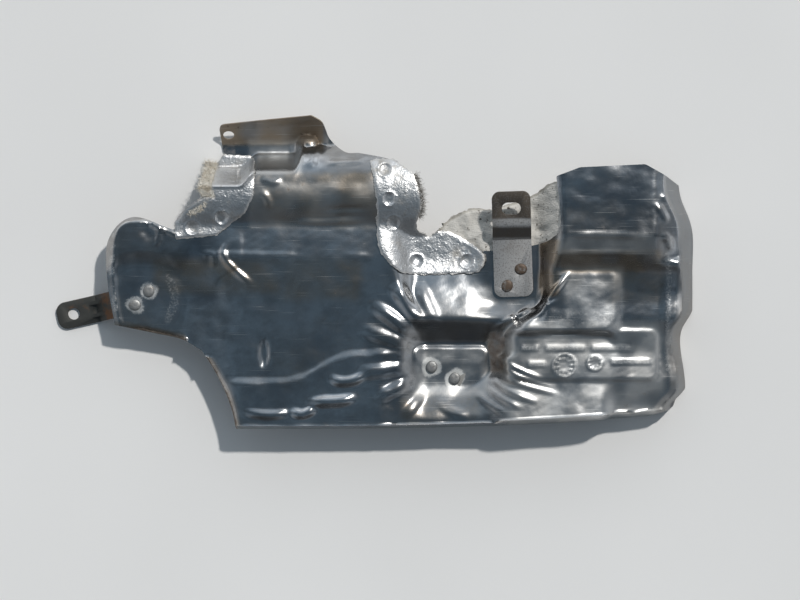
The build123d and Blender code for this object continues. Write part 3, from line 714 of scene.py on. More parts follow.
def onto_edge(x, y, edge):
    """The nearest places on a closed outline."""
    a = edge
    d = np.roll(edge, -1, axis=0) - a
    best = np.full(x.shape, 1e18)
    near = np.stack([x, y], 1)
    for (x0, y0), (dx, dy) in zip(a, d):
        s = np.clip(((x - x0) * dx + (y - y0) * dy) / (dx * dx + dy * dy + 1e-12), 0, 1)
        px, py = x0 + s * dx, y0 + s * dy
        gap = (x - px) ** 2 + (y - py) ** 2
        closer = gap < best
        best = np.where(closer, gap, best)
        near[closer] = np.stack([px, py], 1)[closer]
    return near


def net(name, edges, step):
    """A flat square net cut to an outline and to holes in it, in millimetres."""
    low_x, low_y = edges[0].min(0) - step
    high_x, high_y = edges[0].max(0) + step
    nx, ny = int((high_x - low_x) / step) + 1, int((high_y - low_y) / step) + 1
    bpy.ops.object.select_all(action="DESELECT")
    bpy.ops.mesh.primitive_grid_add(x_subdivisions=nx, y_subdivisions=ny, size=2)
    piece = bpy.context.object
    piece.name = name
    mesh = piece.data
    co = np.empty(len(mesh.vertices) * 3)
    mesh.vertices.foreach_get("co", co)
    co = co.reshape(-1, 3)
    co[:, 0] = low_x + (co[:, 0] + 1) / 2 * (high_x - low_x)
    co[:, 1] = low_y + (co[:, 1] + 1) / 2 * (high_y - low_y)
    quads = np.empty(len(mesh.polygons) * 4, int)
    mesh.polygons.foreach_get("vertices", quads)
    quads = quads.reshape(-1, 4)
    mid = co[quads].mean(1)
    kept = inside(mid[:, 0], mid[:, 1], edges[0])
    for hole in edges[1:]:
        kept &= ~inside(mid[:, 0], mid[:, 1], hole)
    used = np.zeros(len(co), bool)
    used[quads[kept]] = True
    cut = np.zeros(len(co), bool)
    cut[quads[~kept]] = True
    border = np.where(used & cut)[0]
    every = [onto_edge(co[border, 0], co[border, 1], edge) for edge in edges]
    gaps = [np.hypot(*(near - co[border, :2]).T) for near in every]
    choice = np.argmin(gaps, axis=0)
    for i, near in enumerate(every):
        co[border[choice == i], :2] = near[choice == i]
    mesh.vertices.foreach_set("co", co.ravel())
    mesh.polygons.foreach_set("select", ~kept)
    bpy.context.tool_settings.mesh_select_mode = (False, False, True)
    bpy.ops.object.mode_set(mode="EDIT")
    bpy.ops.mesh.delete(type="FACE")
    bpy.ops.object.mode_set(mode="OBJECT")
    return piece


def places(piece):
    co = np.empty(len(piece.data.vertices) * 3)
    piece.data.vertices.foreach_get("co", co)
    return co.reshape(-1, 3)


def move_to(piece, co):
    piece.data.vertices.foreach_set("co", np.ascontiguousarray(co).ravel())
    piece.data.update()


def thicken(piece, thickness):
    solid = piece.modifiers.new("thickness", "SOLIDIFY")
    solid.thickness = thickness * MM
    solid.offset = -1
    bpy.context.view_layer.objects.active = piece
    bpy.ops.object.modifier_apply(modifier=solid.name)


def mask(piece, name, values):
    layer = piece.data.attributes.new(name, "FLOAT", "POINT")
    layer.data.foreach_set("value", np.ascontiguousarray(values, float))


def settle(piece, node, material):
    """The piece gets its finish, rides on the one body and hides the CAD node that it stands for.
    """
    piece.data.materials.clear()
    piece.data.materials.append(material)
    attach(piece, "root")
    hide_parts(node)
    print(piece.name, "has", len(piece.data.polygons), "faces")


print("nets are ready")

# %% [markdown]
# ## The pressed sheet
# The blank's outline follows the photograph: round lobe, torn cut-outs, leaning bolt flange,
# the notch under the strap, the block's clipped corners and the bowed bottom edge. Smooth runs
# go through a few points each, and straight runs keep the sheared edges straight.

# %% Sheet outline
FLANGE_HOLE_X, FLANGE_HOLE_Y, FLANGE_HOLE_R = -89.7, 84.3, 3.4
NET_STEP = 1.05
LOBE_FOOT = (LOBE_FOOT_X, LOBE_FOOT_Y)


def sheet_outline():
    hem_x = np.linspace(HEM_X1, HEM_X0, 60)
    side_y = np.linspace(HEM_Y, SIDE_Y, 24)
    right_y = np.array((53.7, 45, 26, 0, -23, -39, -66.5, -72, -77, -83))
    right = [(rim_line(y), y) for y in right_y]
    runs = [
        smooth_run((LOBE_FOOT, (-163, -6), (-162.9, 19.5), (-148, 34), (-122.6, 26.2))),
        smooth_run(((-122.6, 26.2), (-117, 31.5), (-101, 37), (-91, 50), (-89, 68))),
        straight_run(((-89, 68), (-93.3, 75), (-95.2, 87.5))),
        smooth_run(((-95.2, 87.5), (-94.5, 89.7), (-92.5, 90.6)), 0.8),
        straight_run(((-92.5, 90.6), (-72.6, 92.7), (-39, 95.8))),
        smooth_run(((-39, 95.8), (-32.3, 91.5), (-27.5, 81.7), (-18.3, 73.8), (-9.8, 73.2))),
        straight_run(((-9.8, 73.2), (3.1, 70.8), (14, 68))),
        smooth_run(((14, 68), (16.5, 42), (22, 25), (36, 14.5), (70.8, 13.4))),
        smooth_run(((70.8, 13.4), (95, 16.5), (107, 20.7), (112.5, 30), (110, 58.6))),
        straight_run(((110, 58.6), (124.4, 64), (164.1, 65.9), right[0])),
        smooth_run(right[:5]),
        smooth_run(right[4:] + [(HEM_X1, hem_line(HEM_X1))]),
        np.stack([hem_x, hem_line(hem_x)], 1)[:-1],
        np.stack([side_line(side_y), side_y], 1)[:-1],
        smooth_run(((side_line(SIDE_Y), SIDE_Y), (-118.3, -40.3), (-134.8, -36.6), LOBE_FOOT)),
    ]
    return np.vstack(runs)


def flange_hole():
    turn = np.linspace(0, 2 * math.pi, 28, endpoint=False)
    squash = math.cos(math.atan(FLANGE_LEAN))
    return np.stack([FLANGE_HOLE_X + FLANGE_HOLE_R * np.cos(turn),
                     FLANGE_HOLE_Y + FLANGE_HOLE_R * squash * np.sin(turn)], 1)


print("sheet outline has", len(sheet_outline()), "points")

# %% [markdown]
# ## Small relief
# Worn thin sheet is never flat, so waves and faint facets go over all of it. The label panel
# carries plain raised strips and ticked dials, and the flange has a doubled strip at its edge.
# They are heights on the same net, because a bump in the finish would vanish at a low angle.

# %% Small relief
STRIPS = ((88, 100, -45.7), (103, 128, -45.7), (131, 157, -45.7), (92, 104, -55.5),
          (143, 168, -54))
STRIP_HALF, STRIP_RISE = 2.4, 0.4
DIALS = ((115, -56.3, 8, 11), (133.6, -54.8, 5.6, 9))
HEM_STRIP_W, HEM_STRIP_RISE = 4, 0.9


def uneven(x, y):
    """The slight waviness and small dents of worn thin sheet."""
    soft = 0.30 * waves(x, y, 50, 3) + 0.06 * waves(x, y, 17, 4)
    streaks = 0.06 * waves(0.3 * x, y, 13, 7)
    streaks = streaks + 0.03 * waves(0.5 * x + 0.3 * y, y - 0.3 * x, 6, 8)
    return soft + streaks + 0.05 * crumple(x, y, 16, 5, 6) + 0.02 * crumple(x, y, 7, 6, 6)


def label_marks(x, y):
    """Plain raised strips and ticked dials on the label panel."""
    z = np.zeros(np.shape(x))
    for x0, x1, mid in STRIPS:
        strip = plateau(x, y, x0, x1, mid - STRIP_HALF, mid + STRIP_HALF, 1.2)
        z = z + STRIP_RISE * ramp(strip, 1.1, 0.4)
    for px, py, size, ticks in DIALS:
        r = np.hypot(x - px, y - py)
        turn = np.arctan2(y - py, x - px)
        z = z + STRIP_RISE * band(r, size - 1.4, size - 0.9, 0.9)
        z = z + 0.35 * band(r, 0.42 * size, 0.66 * size, 0.8) * ease(0.5 + np.cos(ticks * turn))
    return z


def hemmed(x, y):
    """The doubled strip along the top edge of the flange."""
    edge = 92.7 + 0.0923 * (x + 72.6)
    strip = ramp(y - edge + HEM_STRIP_W, 1.4, 0.5) * past(x, -76, 4)
    return HEM_STRIP_RISE * strip * before(x, -37, 4)


print(len(STRIPS), "strips and", len(DIALS), "dials are on the panel")

# %% [markdown]
# ## Wear and painted light on the net
# Heat tint, rust, scuffs and tarnish sit in known places on the real part, and painted shade,
# painted highlights and painted brown reflection sit beside them on faces that the lights leave
# too light or too dark. They could be painted by hand; here every point of the net stores a number
# for each, made of soft-edged patches, which the finish reads by name. The brown of heat and
# reflection is not called heat, because the renderer keeps that word for smoke and would read
# nothing.

# %% Wear
# Each patch: its left, right, lower and upper side, its soft edge and its depth.
# Brown patches: the flange, the barrel's flank and the two beside the block are painted brown
# reflection, the others brown tint.
HEAT_AND_REFLECTION_PATCHES = ((-98, -34, 80, 98, 4, 1.1), (-74, 4, 31, 58, 6, 0.75),
          (114, 172, 2, 12, 4, 0.9), (148, 172, -14, 8, 8, 0.5),
          (102, 110, -12, 18, 4, 1), (70, 78, -58, -36, 7, 0.5),
          (-130, -60, -8, 4, 9, 0.7), (-52, -14, -12, 4, 10, 0.65),
          (20, 60, -86, -76, 8, 0.35))
RUSTED = ((103.5, 107.5, -6, 12, 3, 0.45), (-98, -87, 74, 80, 4, 0.5))
RUSTED_FLANGE = ((-98, -34, 81, 98, 4, 1),)
# The first pale patch is painted light in the recess; the second pales a band of the pillow.
SCUFF_AND_LIGHT_PATCHES = ((-74, -48, 62, 76, 4, 0.15), (92, 150, -32, -24, 5, 0.35))
# Painted light: these patches lighten faces that the lights leave too dark; the first also carries
# the pale bloom of the lower right.
BLOOM_AND_SHEEN_PATCHES = ((84, 172, -86, -34, 10, 1.15), (118, 148, -32, 2, 6, 0.6),
           (34, 70, -24, -12, 8, 0.35), (-76, -46, 62, 80, 4, 1),
           (-74, 2, 30, 52, 6, 0.6), (112, 168, 13, 22, 3, 0.9),
           (27, 66, -72, -48, 6, 0.8))
# Painted shade on the roof and the lobe.
DARKENED = ((112, 170, 24, 66, 4, 0.55), (-152, -98, -14, 22, 8, 0.45))
# Dull skin and painted shade on the flange.
DULL_AND_SHADE_PATCHES = ((-98, -30, 81, 98, 3, 1),)


def strongest(*marks):
    return np.maximum.reduce(marks)


def patches(x, y, rows):
    """The deepest of a few soft-edged patches at each place."""
    return strongest(*[depth * band(x, x0, x1, soft) * band(y, y0, y1, soft)
                       for x0, x1, y0, y1, soft, depth in rows])


def uneven_depth(x, y, level, swing, length, seed, least=0):
    """A factor that varies over the sheet, from least to 1."""
    return np.clip(level + swing * waves(x, y, length, seed), least, 1)


def rings(x, y, spots, inner, outer, seed):
    """Ragged rings round a few places."""
    ragged_by = 0.5 * waves(x, y, 11, seed)
    return strongest(*[ease(1 - (np.hypot(x - px, y - py) + ragged_by - inner) / (outer - inner))
                       for px, py in spots])


def heat_and_reflection_marks(x, y):
    """Where exhaust heat has tinted the sheet brown, with painted brown reflection on the flange,
    the barrel's flank and beside the block.
    """
    edge = 0.9 * ease(1 - left_edge(x, y) / 6) * (y < -30)
    return strongest(patches(x, y, HEAT_AND_REFLECTION_PATCHES), edge) * uneven_depth(x, y, 0.8, 0.3, 20, 21, 0.3)


def rust_marks(x, y):
    """Dark rust in the pocket's corner, along the left edge and on the flange."""
    mid = 74 + 2.2 * waves(x, y, 16, 31)
    pocket = 0.62 * ease(1.35 - np.abs(x - mid) / 5) * band(y, -58, -38, 7)
    edge = 0.7 * ease(1 - left_edge(x, y) / 2.5) * (y < -34)
    flange = 0.30 * patches(x, y, RUSTED_FLANGE) * uneven_depth(x, y, 0.85, 0.25, 12, 33)
    return strongest(pocket, edge, flange, patches(x, y, RUSTED))


def scuff_and_highlight_marks(x, y):
    """Whitish scuffs round the rivets and where the sheet has rubbed, the printed label marks, and
    painted highlights on the lobe's rim, down the right ridge and in the recess.
    """
    arc = band(np.hypot(x - TAB_MID[0], y - TAB_MID[1]), 17.5, 22, 2.5)
    arc = arc * past(x, TAB_MID[0] + 11, 5) * band(y, -30, -2, 6)
    # A painted highlight along the lobe's rolled rim.
    lobe = band(lobe_edge(x, y), 1.5, 4, 2) * band(y, -26, 30, 6) * before(x, -120, 10)
    # A painted highlight down the ridge at the right.
    line = ease(1 - np.abs(x - 178.5 - 0.6 * waves(x, y, 30, 29)) / 5.5) * band(y, -58, 20, 8)
    return strongest(
        rings(x, y, POCKET_RIVETS, 4, 8.5, 23), 0.8 * rings(x, y, TAB_RIVETS, 3.8, 8, 24),
        0.45 * arc, 0.6 * lobe * uneven_depth(x, y, 0.7, 0.5, 9, 27), 1.4 * label_marks(x, y),
        0.5 * line, patches(x, y, SCUFF_AND_LIGHT_PATCHES))


def bloom_and_sheen_marks(x, y):
    """The pale, dull bloom on the lower right of the shield, with painted light that lightens the
    panel, the pillow, the pad, the recess, the barrel, the slope above the pocket and the band
    under the roof crest.
    """
    return patches(x, y, BLOOM_AND_SHEEN_PATCHES) * uneven_depth(x, y, 0.8, 0.3, 24, 26)


def dark_marks(x, y):
    """Painted shade: the high roof and the lobe are darkened, as a dark reflection darkens them."""
    return patches(x, y, DARKENED) * uneven_depth(x, y, 0.75, 0.4, 22, 28)


def dull_and_shade_marks(x, y):
    """The dull skin of the right rim and of the bolt flange, darkened there as painted shade."""
    # Dull skin and painted shade along the wall of the right rim.
    rim = ease(1 - (rim_line(y) - x - 8) / 4) * (x > 140)
    return strongest(rim, patches(x, y, DULL_AND_SHADE_PATCHES))


MARKS = {"tint": heat_and_reflection_marks, "rust": rust_marks, "scuff": scuff_and_highlight_marks, "bloom": bloom_and_sheen_marks,
         "dark": dark_marks, "dull": dull_and_shade_marks}
print("kinds of wear:", list(MARKS))

# %% [markdown]
# ## Pressing the blank
# The flat net takes its heights from the tool in one move and gets its thickness from a
# Solidify modifier. Its rows are first bent to run along the bowed bottom edge, so that the
# wall there has straight rows of faces.


# %% Press the sheet
def bowed(x, y):
    """How far the rows of the net are bent up with the bottom edge."""
    return (hem_line(x) - HEM_Y) * before(y, -40, 40)


def press_sheet():
    edge = sheet_outline()
    flat = edge.copy()
    for _ in range(6):
        flat[:, 1] = edge[:, 1] - bowed(flat[:, 0], flat[:, 1])
    piece = net("pressed_sheet", [flat, flange_hole()], NET_STEP)
    co = places(piece)
    co[:, 1] = co[:, 1] + bowed(co[:, 0], co[:, 1])
    x, y = co[:, 0], co[:, 1]
    co[:, 2] = skin(x, y, SHEET_T) + uneven(x, y) + hemmed(x, y) + label_marks(x, y)
    for name, marks in MARKS.items():
        mask(piece, name, marks(x, y))
    move_to(piece, co * MM)
    thicken(piece, SHEET_T)
    co = places(piece)
    co[:, 2] = np.maximum(co[:, 2], 0)
    move_to(piece, co)
    bpy.ops.object.shade_smooth_by_angle(angle=math.radians(50))
    return piece


sheet = press_sheet()
print("sheet net:", len(sheet.data.vertices), "points")

# %% [markdown]
# ## Sheet metal
# The real sheet is bright steel under dull film, brown heat tint, rust and scratches. The finish
# starts from the steel and lays one thin layer after another over it, each with its own colour
# and strength, the dark film first and the scuffs last. Some layers also carry painted light:
# painted shade on the roof, lobe, rim and flange, painted brown reflection, and painted highlights
# and sheen. Noise breaks every edge, so that nothing looks drawn.

# %% Sheet metal
# Besides wear, the tarnish colour paints shade, the dull rim grey paints shade, the heat brown
# paints brown reflection, and the pale scuff colour paints highlights and sheen.
STEEL, DULL_STEEL = (0.52, 0.53, 0.545), (0.33, 0.34, 0.35)
HEAT_AND_REFLECTION_BROWN, RUST = (0.31, 0.235, 0.155), (0.075, 0.05, 0.036)
TARNISH_AND_SHADE, DULL_GREY_AND_SHADE = (0.185, 0.21, 0.24), (0.25, 0.262, 0.275)
PALE_SCUFF_AND_SHEEN = (0.72, 0.72, 0.70)


def painted(place, name):
    """A mask stored on the points of the piece."""
    return place.node("ShaderNodeAttribute", {"attribute_name": name}, {}, "Fac")


def scratches(place, turn, size):
    """Sparse thin lines in one direction."""
    return place.stretch(1, 40, 1, turn).noise(size, 1).step(0.70, 0.80)


def sheet_metal(place):
    cloud = place.noise(24, 6, 0.66)
    mottle = place.noise(70, 5, 0.62)
    spots = place.noise(240, 5, 0.68)
    grit = place.noise(900, 4, 0.6)
    breakup = 0.5 + 0.9 * (cloud - 0.5) + 0.8 * (mottle - 0.5) + 0.5 * (spots - 0.5)
    tint, dull = painted(place, "tint"), painted(place, "dull")
    heat_and_reflection = (tint * (0.5 + breakup) + 0.35 * place.noise(15, 6, 0.65).step(0.45, 0.66)).clamp()
    stain = 0.7 * place.noise(11, 5, 0.6).step(0.46, 0.64)
    dark = (painted(place, "dark") * (0.6 + breakup) + stain).clamp()
    bloom = (painted(place, "bloom") * (0.45 + breakup)).clamp()
    fine = scratches(place, 0.5, 30) + scratches(place, -0.8, 41) + scratches(place, 1.3, 35)
    fine = fine.clamp()
    pits = (0.6 * spots + 0.4 * mottle).step(0.60, 0.66) * (0.25 + tint).clamp()
    rust = (painted(place, "rust") + 0.55 * (spots - 0.5) + 0.4 * (mottle - 0.5)).step(0.30, 0.85)
    scuff = (painted(place, "scuff") + 0.8 * (grit - 0.5) + 0.3 * (spots - 0.5)).step(0.30, 1)
    colour = (0.5 * cloud + 0.5 * mottle).step(0.36, 0.66).mix(STEEL, DULL_STEEL)
    # The dark, dull, brown, bloom and scuff layers lay painted shade, painted brown reflection and
    # painted highlights as well as tarnish, heat tint and scuffs.
    layers = ((0.8 * dark, TARNISH_AND_SHADE), (0.9 * dull, DULL_GREY_AND_SHADE), (0.7 * heat_and_reflection, HEAT_AND_REFLECTION_BROWN),
              (0.4 * bloom, PALE_SCUFF_AND_SHEEN), (0.3 * fine, PALE_SCUFF_AND_SHEEN), (0.75 * pits, RUST), (rust, RUST),
              (0.75 * scuff, PALE_SCUFF_AND_SHEEN))
    for amount, tone in layers:
        colour = amount.mix(colour, tone)
    rough = 0.09 + 0.09 * cloud + 0.09 * mottle + 0.08 * heat_and_reflection + 0.22 * bloom
    rough = rough + 0.35 * dull + 0.10 * fine + 0.35 * rust + 0.2 * scuff + 0.2 * pits
    grain = place.noise(420, 3) + 0.8 * place.noise(130, 3)
    return {"Base Color": colour, "Metallic": 1 - 0.75 * rust - 0.3 * scuff,
            "Roughness": rough, "Normal": bump(grain, 0.2, 0.0002)}


settle(sheet, "shield_sheet", finish("sheet_metal", sheet_metal))

# %% [markdown]
# ## Torn foil patches
# Two patches of foil-faced insulation cling to the cut-outs. Cloth simulation would fold them,
# but this foil is crushed and clinched flat to the sheet, so each is a net cut to a ragged
# outline that follows the press tool, crushed into small facets and pushed down into dimples.

# %% Foil patches
FOIL_LOW, FOIL_TOP, FOIL_STEP, EDGE_STEP = 1, 2.4, 0.7, 0.8
DIMPLE_R, DIMPLE_DEEP, DIMPLE_COLLAR = 3.6, 1, 0.35
LEFT_DIMPLES = ((-80.5, 61), (-93.3, 33.6), (-111, 27.5))
RIGHT_DIMPLES = ((6.1, 62.8), (8.5, 45), (11.3, 30.5), (25.3, 7.3), (56, 7.3))
LEFT_TEAR = ((-97.5, 46), (-99.5, 50.5), (-98, 58), (-97, 67))
RIGHT_TEAR = ((23.5, 60), (27, 50), (28, 40), (26, 33))


def ragged(edge, size, seed):
    """The outline with small torn teeth."""
    x, y = edge.T
    dx = waves(x, y, 5, seed) + 0.7 * waves(x, y, 2.2, seed + 1)
    dy = waves(x, y, 5, seed + 2) + 0.7 * waves(x, y, 2.2, seed + 3)
    return edge + size * np.stack([dx, dy], 1)


def left_patch_edge():
    return np.vstack([
        straight_run((LEFT_TEAR[-1], (-93, 73), (-76.5, 72)), EDGE_STEP),
        smooth_run(((-76.5, 72), (-73.6, 67), (-74, 48), (-79, 36)), EDGE_STEP),
        straight_run(((-79, 36), (-97, 22.5), (-122, 20.4), (-122, 31)), EDGE_STEP),
        smooth_run(((-122, 31), (-116, 38), (-109, 43), (-103, 46.5), LEFT_TEAR[0]),
                   EDGE_STEP),
        smooth_run(LEFT_TEAR, EDGE_STEP)])


def right_patch_edge():
    return np.vstack([
        smooth_run(RIGHT_TEAR, EDGE_STEP),
        smooth_run((RIGHT_TEAR[-1], (25.5, 26.5), (33, 22.5), (38.4, 25.6), (44.5, 25.6)),
                   EDGE_STEP),
        smooth_run(((44.5, 25.6), (54, 21), (65.9, 12), (66, 4), (62, 0)), EDGE_STEP),
        straight_run(((62, 0), (30, -1.2), (16, 0)), EDGE_STEP),
        smooth_run(((16, 0), (8, 6.7), (1.8, 17.7), (0.6, 45), (-3, 68.3)), EDGE_STEP),
        straight_run(((-3, 68.3), (0, 69.5), (11.6, 69.5), RIGHT_TEAR[0]), EDGE_STEP)])


def edge_gap(co, edge):
    """How far the points of a net lie from an outline."""
    return np.hypot(*(onto_edge(co[:, 0], co[:, 1], edge) - co[:, :2]).T)


def lay_foil(name, edge, dimples, seed):
    piece = net(name, [ragged(edge, 0.28, seed)], FOIL_STEP)
    co = places(piece)
    x, y = co[:, 0], co[:, 1]
    rim = edge_gap(co, edge)
    free = ease(rim / 3)
    z = skin(x, y, FOIL_TOP) + 0.05 * waves(x, y, 12, seed) * free
    crush = 0.05 * crumple(x, y, 4.6, seed, 20) + 0.07 * crumple(x, y, 1.9, seed + 9, 20)
    calm = np.ones(len(x))
    for px, py in dimples:
        r = np.hypot(x - px, y - py)
        calm = calm * (1 - 0.85 * ease(1.6 - r / DIMPLE_R))
        z = z - DIMPLE_DEEP * ease(1.45 - r / DIMPLE_R * 1.1)
        z = z + DIMPLE_COLLAR * band(r, DIMPLE_R + 0.5, DIMPLE_R + 0.9, 0.8)
    co[:, 2] = z + crush * calm - 0.5 * ease(1 - rim / 1.6)
    mask(piece, "edge", ease(1 - rim / 1.6))
    move_to(piece, co * MM)
    thicken(piece, FOIL_TOP - FOIL_LOW - 0.2)
    bpy.ops.object.shade_smooth_by_angle(angle=math.radians(35))
    return piece


def crinkles(place, size):
    """Fine sharp valleys, as in crushed foil."""
    wave = place.noise(size, 3, 0.55) - 0.5
    return wave.maths("ABSOLUTE", wave)


FOIL_BRIGHT, FOIL_STAIN, FOIL_TORN = (0.62, 0.625, 0.63), (0.40, 0.385, 0.36), (0.45, 0.43, 0.40)


def foil(place):
    cloud = place.noise(70, 4)
    dirt = place.noise(230, 5, 0.65)
    torn = painted(place, "edge")
    stain = (cloud * 0.6 + dirt * 0.5).step(0.55, 0.76)
    colour = (0.6 * torn).mix(stain.mix(FOIL_BRIGHT, FOIL_STAIN), FOIL_TORN)
    crushed = crinkles(place, 260) + 0.5 * crinkles(place, 610)
    return {"Base Color": colour, "Metallic": 1 - 0.35 * torn,
            "Roughness": 0.30 + 0.16 * cloud + 0.2 * stain, "Normal": bump(crushed, 0.8, 0.0007)}


foil_finish = finish("crushed_foil", foil)
left_foil = lay_foil("left_foil", left_patch_edge(), LEFT_DIMPLES, 41)
settle(left_foil, "left_foil_patch", foil_finish)
right_foil = lay_foil("right_foil", right_patch_edge(), RIGHT_DIMPLES, 57)
settle(right_foil, "right_foil_patch", foil_finish)

# %% [markdown]
# ## Loose fibre
# Mineral fibre stands out of the tears of the patches. Hair particles would need converting, so
# the fibre is drawn hair by hair: every strand is a thin three-sided tube of a few faces that
# starts in the tear and curls outwards, from a fixed seed.

# %% Strands
STRAND_SPOTS = (0, 0.3, 0.6, 0.85, 1)
STRAND_TURNS = (0, 2.094, 4.189)
STRAND_TAPER, STRAND_CURL, STRAND_R = 0.16, 0.28, 0.13
FLOOR_GAP = 0.1


def strands(rng, starts, ways, length, curl, thick):
    """Points and faces of thin three-sided tubes, in millimetres."""
    points, faces = [], []
    for start, way in zip(starts, ways):
        run = length * rng.uniform(0.45, 1.25)
        bend = rng.normal(0, curl, 3)
        spots = [start + way * run * t + bend * run * t * t for t in STRAND_SPOTS]
        side = np.cross(way, (0.3, 0.2, 1))
        side = side / np.linalg.norm(side)
        up = np.cross(side, way)
        up = up / np.linalg.norm(up)
        first = len(points)
        for k, spot in enumerate(spots):
            r = thick * (1 - STRAND_TAPER * k)
            for turn in STRAND_TURNS:
                points.append(spot + r * (math.cos(turn) * side + math.sin(turn) * up))
        for k in range(len(spots) - 1):
            for m in range(3):
                a, b = first + 3 * k + m, first + 3 * k + (m + 1) % 3
                faces.append((a, b, b + 3, a + 3))
        faces.append((first + 2, first + 1, first))
        last = len(points) - 3
        faces.append((last, last + 1, last + 2))
    return points, faces


def select_only(piece):
    bpy.ops.object.select_all(action="DESELECT")
    piece.select_set(True)
    bpy.context.view_layer.objects.active = piece


def drawn_piece(name, points, faces):
    """A smooth piece from points in millimetres, kept clear of the paper."""
    mesh = bpy.data.meshes.new(name)
    mesh.from_pydata([(x * MM, y * MM, max(z, FLOOR_GAP) * MM) for x, y, z in points], [], faces)
    piece = bpy.data.objects.new(name, mesh)
    bpy.context.collection.objects.link(piece)
    select_only(piece)
    bpy.ops.object.shade_smooth()
    return piece


def tuft(name, runs, seed):
    """Tufts of strands out of tears; depth is how far back from the tear they start."""
    rng = np.random.default_rng(seed)
    points, faces = [], []
    for tear, outward, count, length, depth, lift in runs:
        line = smooth_run(tuple(tear), 0.3)
        root = line[rng.integers(0, len(line), count)] + rng.normal(0, 0.35, (count, 2))
        root = root + np.array(outward) * rng.uniform(-0.3, depth, count)[:, None]
        z = skin(root[:, 0], root[:, 1], FOIL_LOW) + rng.uniform(0.2, lift, count)
        turn = math.atan2(outward[1], outward[0]) + rng.normal(0, 0.75, count)
        ways = np.column_stack([np.cos(turn), np.sin(turn), rng.normal(0.05, 0.28, count)])
        ways = ways / np.linalg.norm(ways, axis=1)[:, None]
        more, rows = strands(rng, np.column_stack([root, z]), ways, length, STRAND_CURL, STRAND_R)
        faces = faces + [tuple(len(points) + k for k in row) for row in rows]
        points = points + more
    return drawn_piece(name, points, faces)


def fibre_tone(pale, dark, rough):
    """A finish that varies from strand to strand."""
    def paint(place):
        tone = place.noise(300, 3).step(0.3, 0.7)
        return {"Base Color": tone.mix(pale, dark), "Roughness": rough}
    return paint


TAN, TAN_DARK = (0.86, 0.83, 0.76), (0.60, 0.54, 0.44)
GREY, GREY_DARK = (0.42, 0.40, 0.37), (0.20, 0.18, 0.16)
# Each run: its tear, the way out, how many strands, their length, depth and lift.
LEFT_RUNS = ((LEFT_TEAR, (-0.97, 0.2), 2900, 2.6, 6.5, 2.2),
             (((-113.5, 37), (-108, 39.5), (-103.5, 43)), (0.4, -0.9), 420, 1.5, 2.4, 2.6))
RIGHT_RUNS = ((RIGHT_TEAR, (0.95, 0.1), 420, 2.8, 1, 1.6),)
tan_fibre = finish("tan_fibre", fibre_tone(TAN, TAN_DARK, 0.8))
grey_fibre = finish("grey_fibre", fibre_tone(GREY, GREY_DARK, 0.85))
settle(tuft("left_fibre", LEFT_RUNS, 71), "left_fibre_tuft", tan_fibre)
settle(tuft("right_fibre", RIGHT_RUNS, 72), "right_fibre_tuft", grey_fibre)

# %% [markdown]
# ## The bare mat
# In the notch beside the block the foil is gone and the beige mat lies bare. It is felt, pressed
# under the sheet, so it is a net that follows the tool from below and swells into lumps only
# where no sheet covers it.

# %% Saddle mat
MAT_T, MAT_STEP, MAT_TRIM, SEAT_GAP = 3, 0.9, 0.6, 0.2
MAT_SINK, MAT_ROUND = 0.3, 1.3
FELT, FELT_STAIN, FELT_SPECK = (0.58, 0.56, 0.52), (0.36, 0.34, 0.30), (0.10, 0.085, 0.07)


def mat_edge():
    return np.vstack([
        smooth_run(((36, 22), (43.3, 31.1), (50, 35.4), (60.4, 39.7), (72, 38.6))),
        smooth_run(((72, 38.6), (95.2, 47), (107.4, 55), (113.5, 54))),
        smooth_run(((113.5, 54), (116, 40), (115, 22), (100, 10), (70, 9))),
        smooth_run(((70, 9), (45, 9), (36, 13), (36, 22)))])


def lay_mat():
    edge = mat_edge()
    piece = net("fibre_mat", [ragged(edge, 0.35, 81)], MAT_STEP)
    co = places(piece)
    x, y = co[:, 0], co[:, 1]
    rim = edge_gap(co, edge)
    seen = ~inside(x, y, sheet_outline())
    lumps = 0.55 * crumple(x, y, 6, 83, 7) + 0.35 * crumple(x, y, 2.6, 84, 7)
    lumps = lumps + 0.35 * waves(x, y, 14, 85)
    lumps = lumps + fold(x, y, ((94, 24), (102, 22), (109, 25)), 1.6, 0.9)
    lumps = lumps + fold(x, y, ((97, 19.5), (104, 19), (110, 21)), 1.4, 0.8)
    lumps = np.where(seen, lumps, np.minimum(lumps, 0)) - MAT_SINK
    co[:, 2] = skin(x, y, -SEAT_GAP) + lumps - MAT_ROUND * ease(1 - rim / 2.5)
    mask(piece, "edge", ease(1 - rim / 3))
    move_to(piece, co * MM)
    thicken(piece, MAT_T - MAT_TRIM)
    bpy.ops.object.shade_smooth_by_angle(angle=math.radians(60))
    return piece


def felt(place):
    cloud = place.noise(38, 4)
    speck = place.noise(420, 3)
    stain = (0.7 * cloud + 0.35 * painted(place, "edge")).step(0.40, 0.72)
    colour = stain.mix(FELT, FELT_STAIN)
    colour = speck.step(0.63, 0.70).mix(colour, FELT_SPECK)
    wool = place.noise(900, 3) + place.stretch(1, 5, 1, 0.7).noise(320, 3)
    return {"Base Color": colour, "Roughness": 0.95, "Normal": bump(wool, 0.7, 0.0006)}


settle(lay_mat(), "saddle_mat", finish("matted_felt", felt))

# %% [markdown]
# ## Brackets
# The strap and the tab are stamped from thick steel, which the CAD gives exactly, so each is a
# copy of its node: points merged, flat faces joined and a small bevel on the sharp edges, since
# real stampings are never razor sharp and the bevels catch the light.

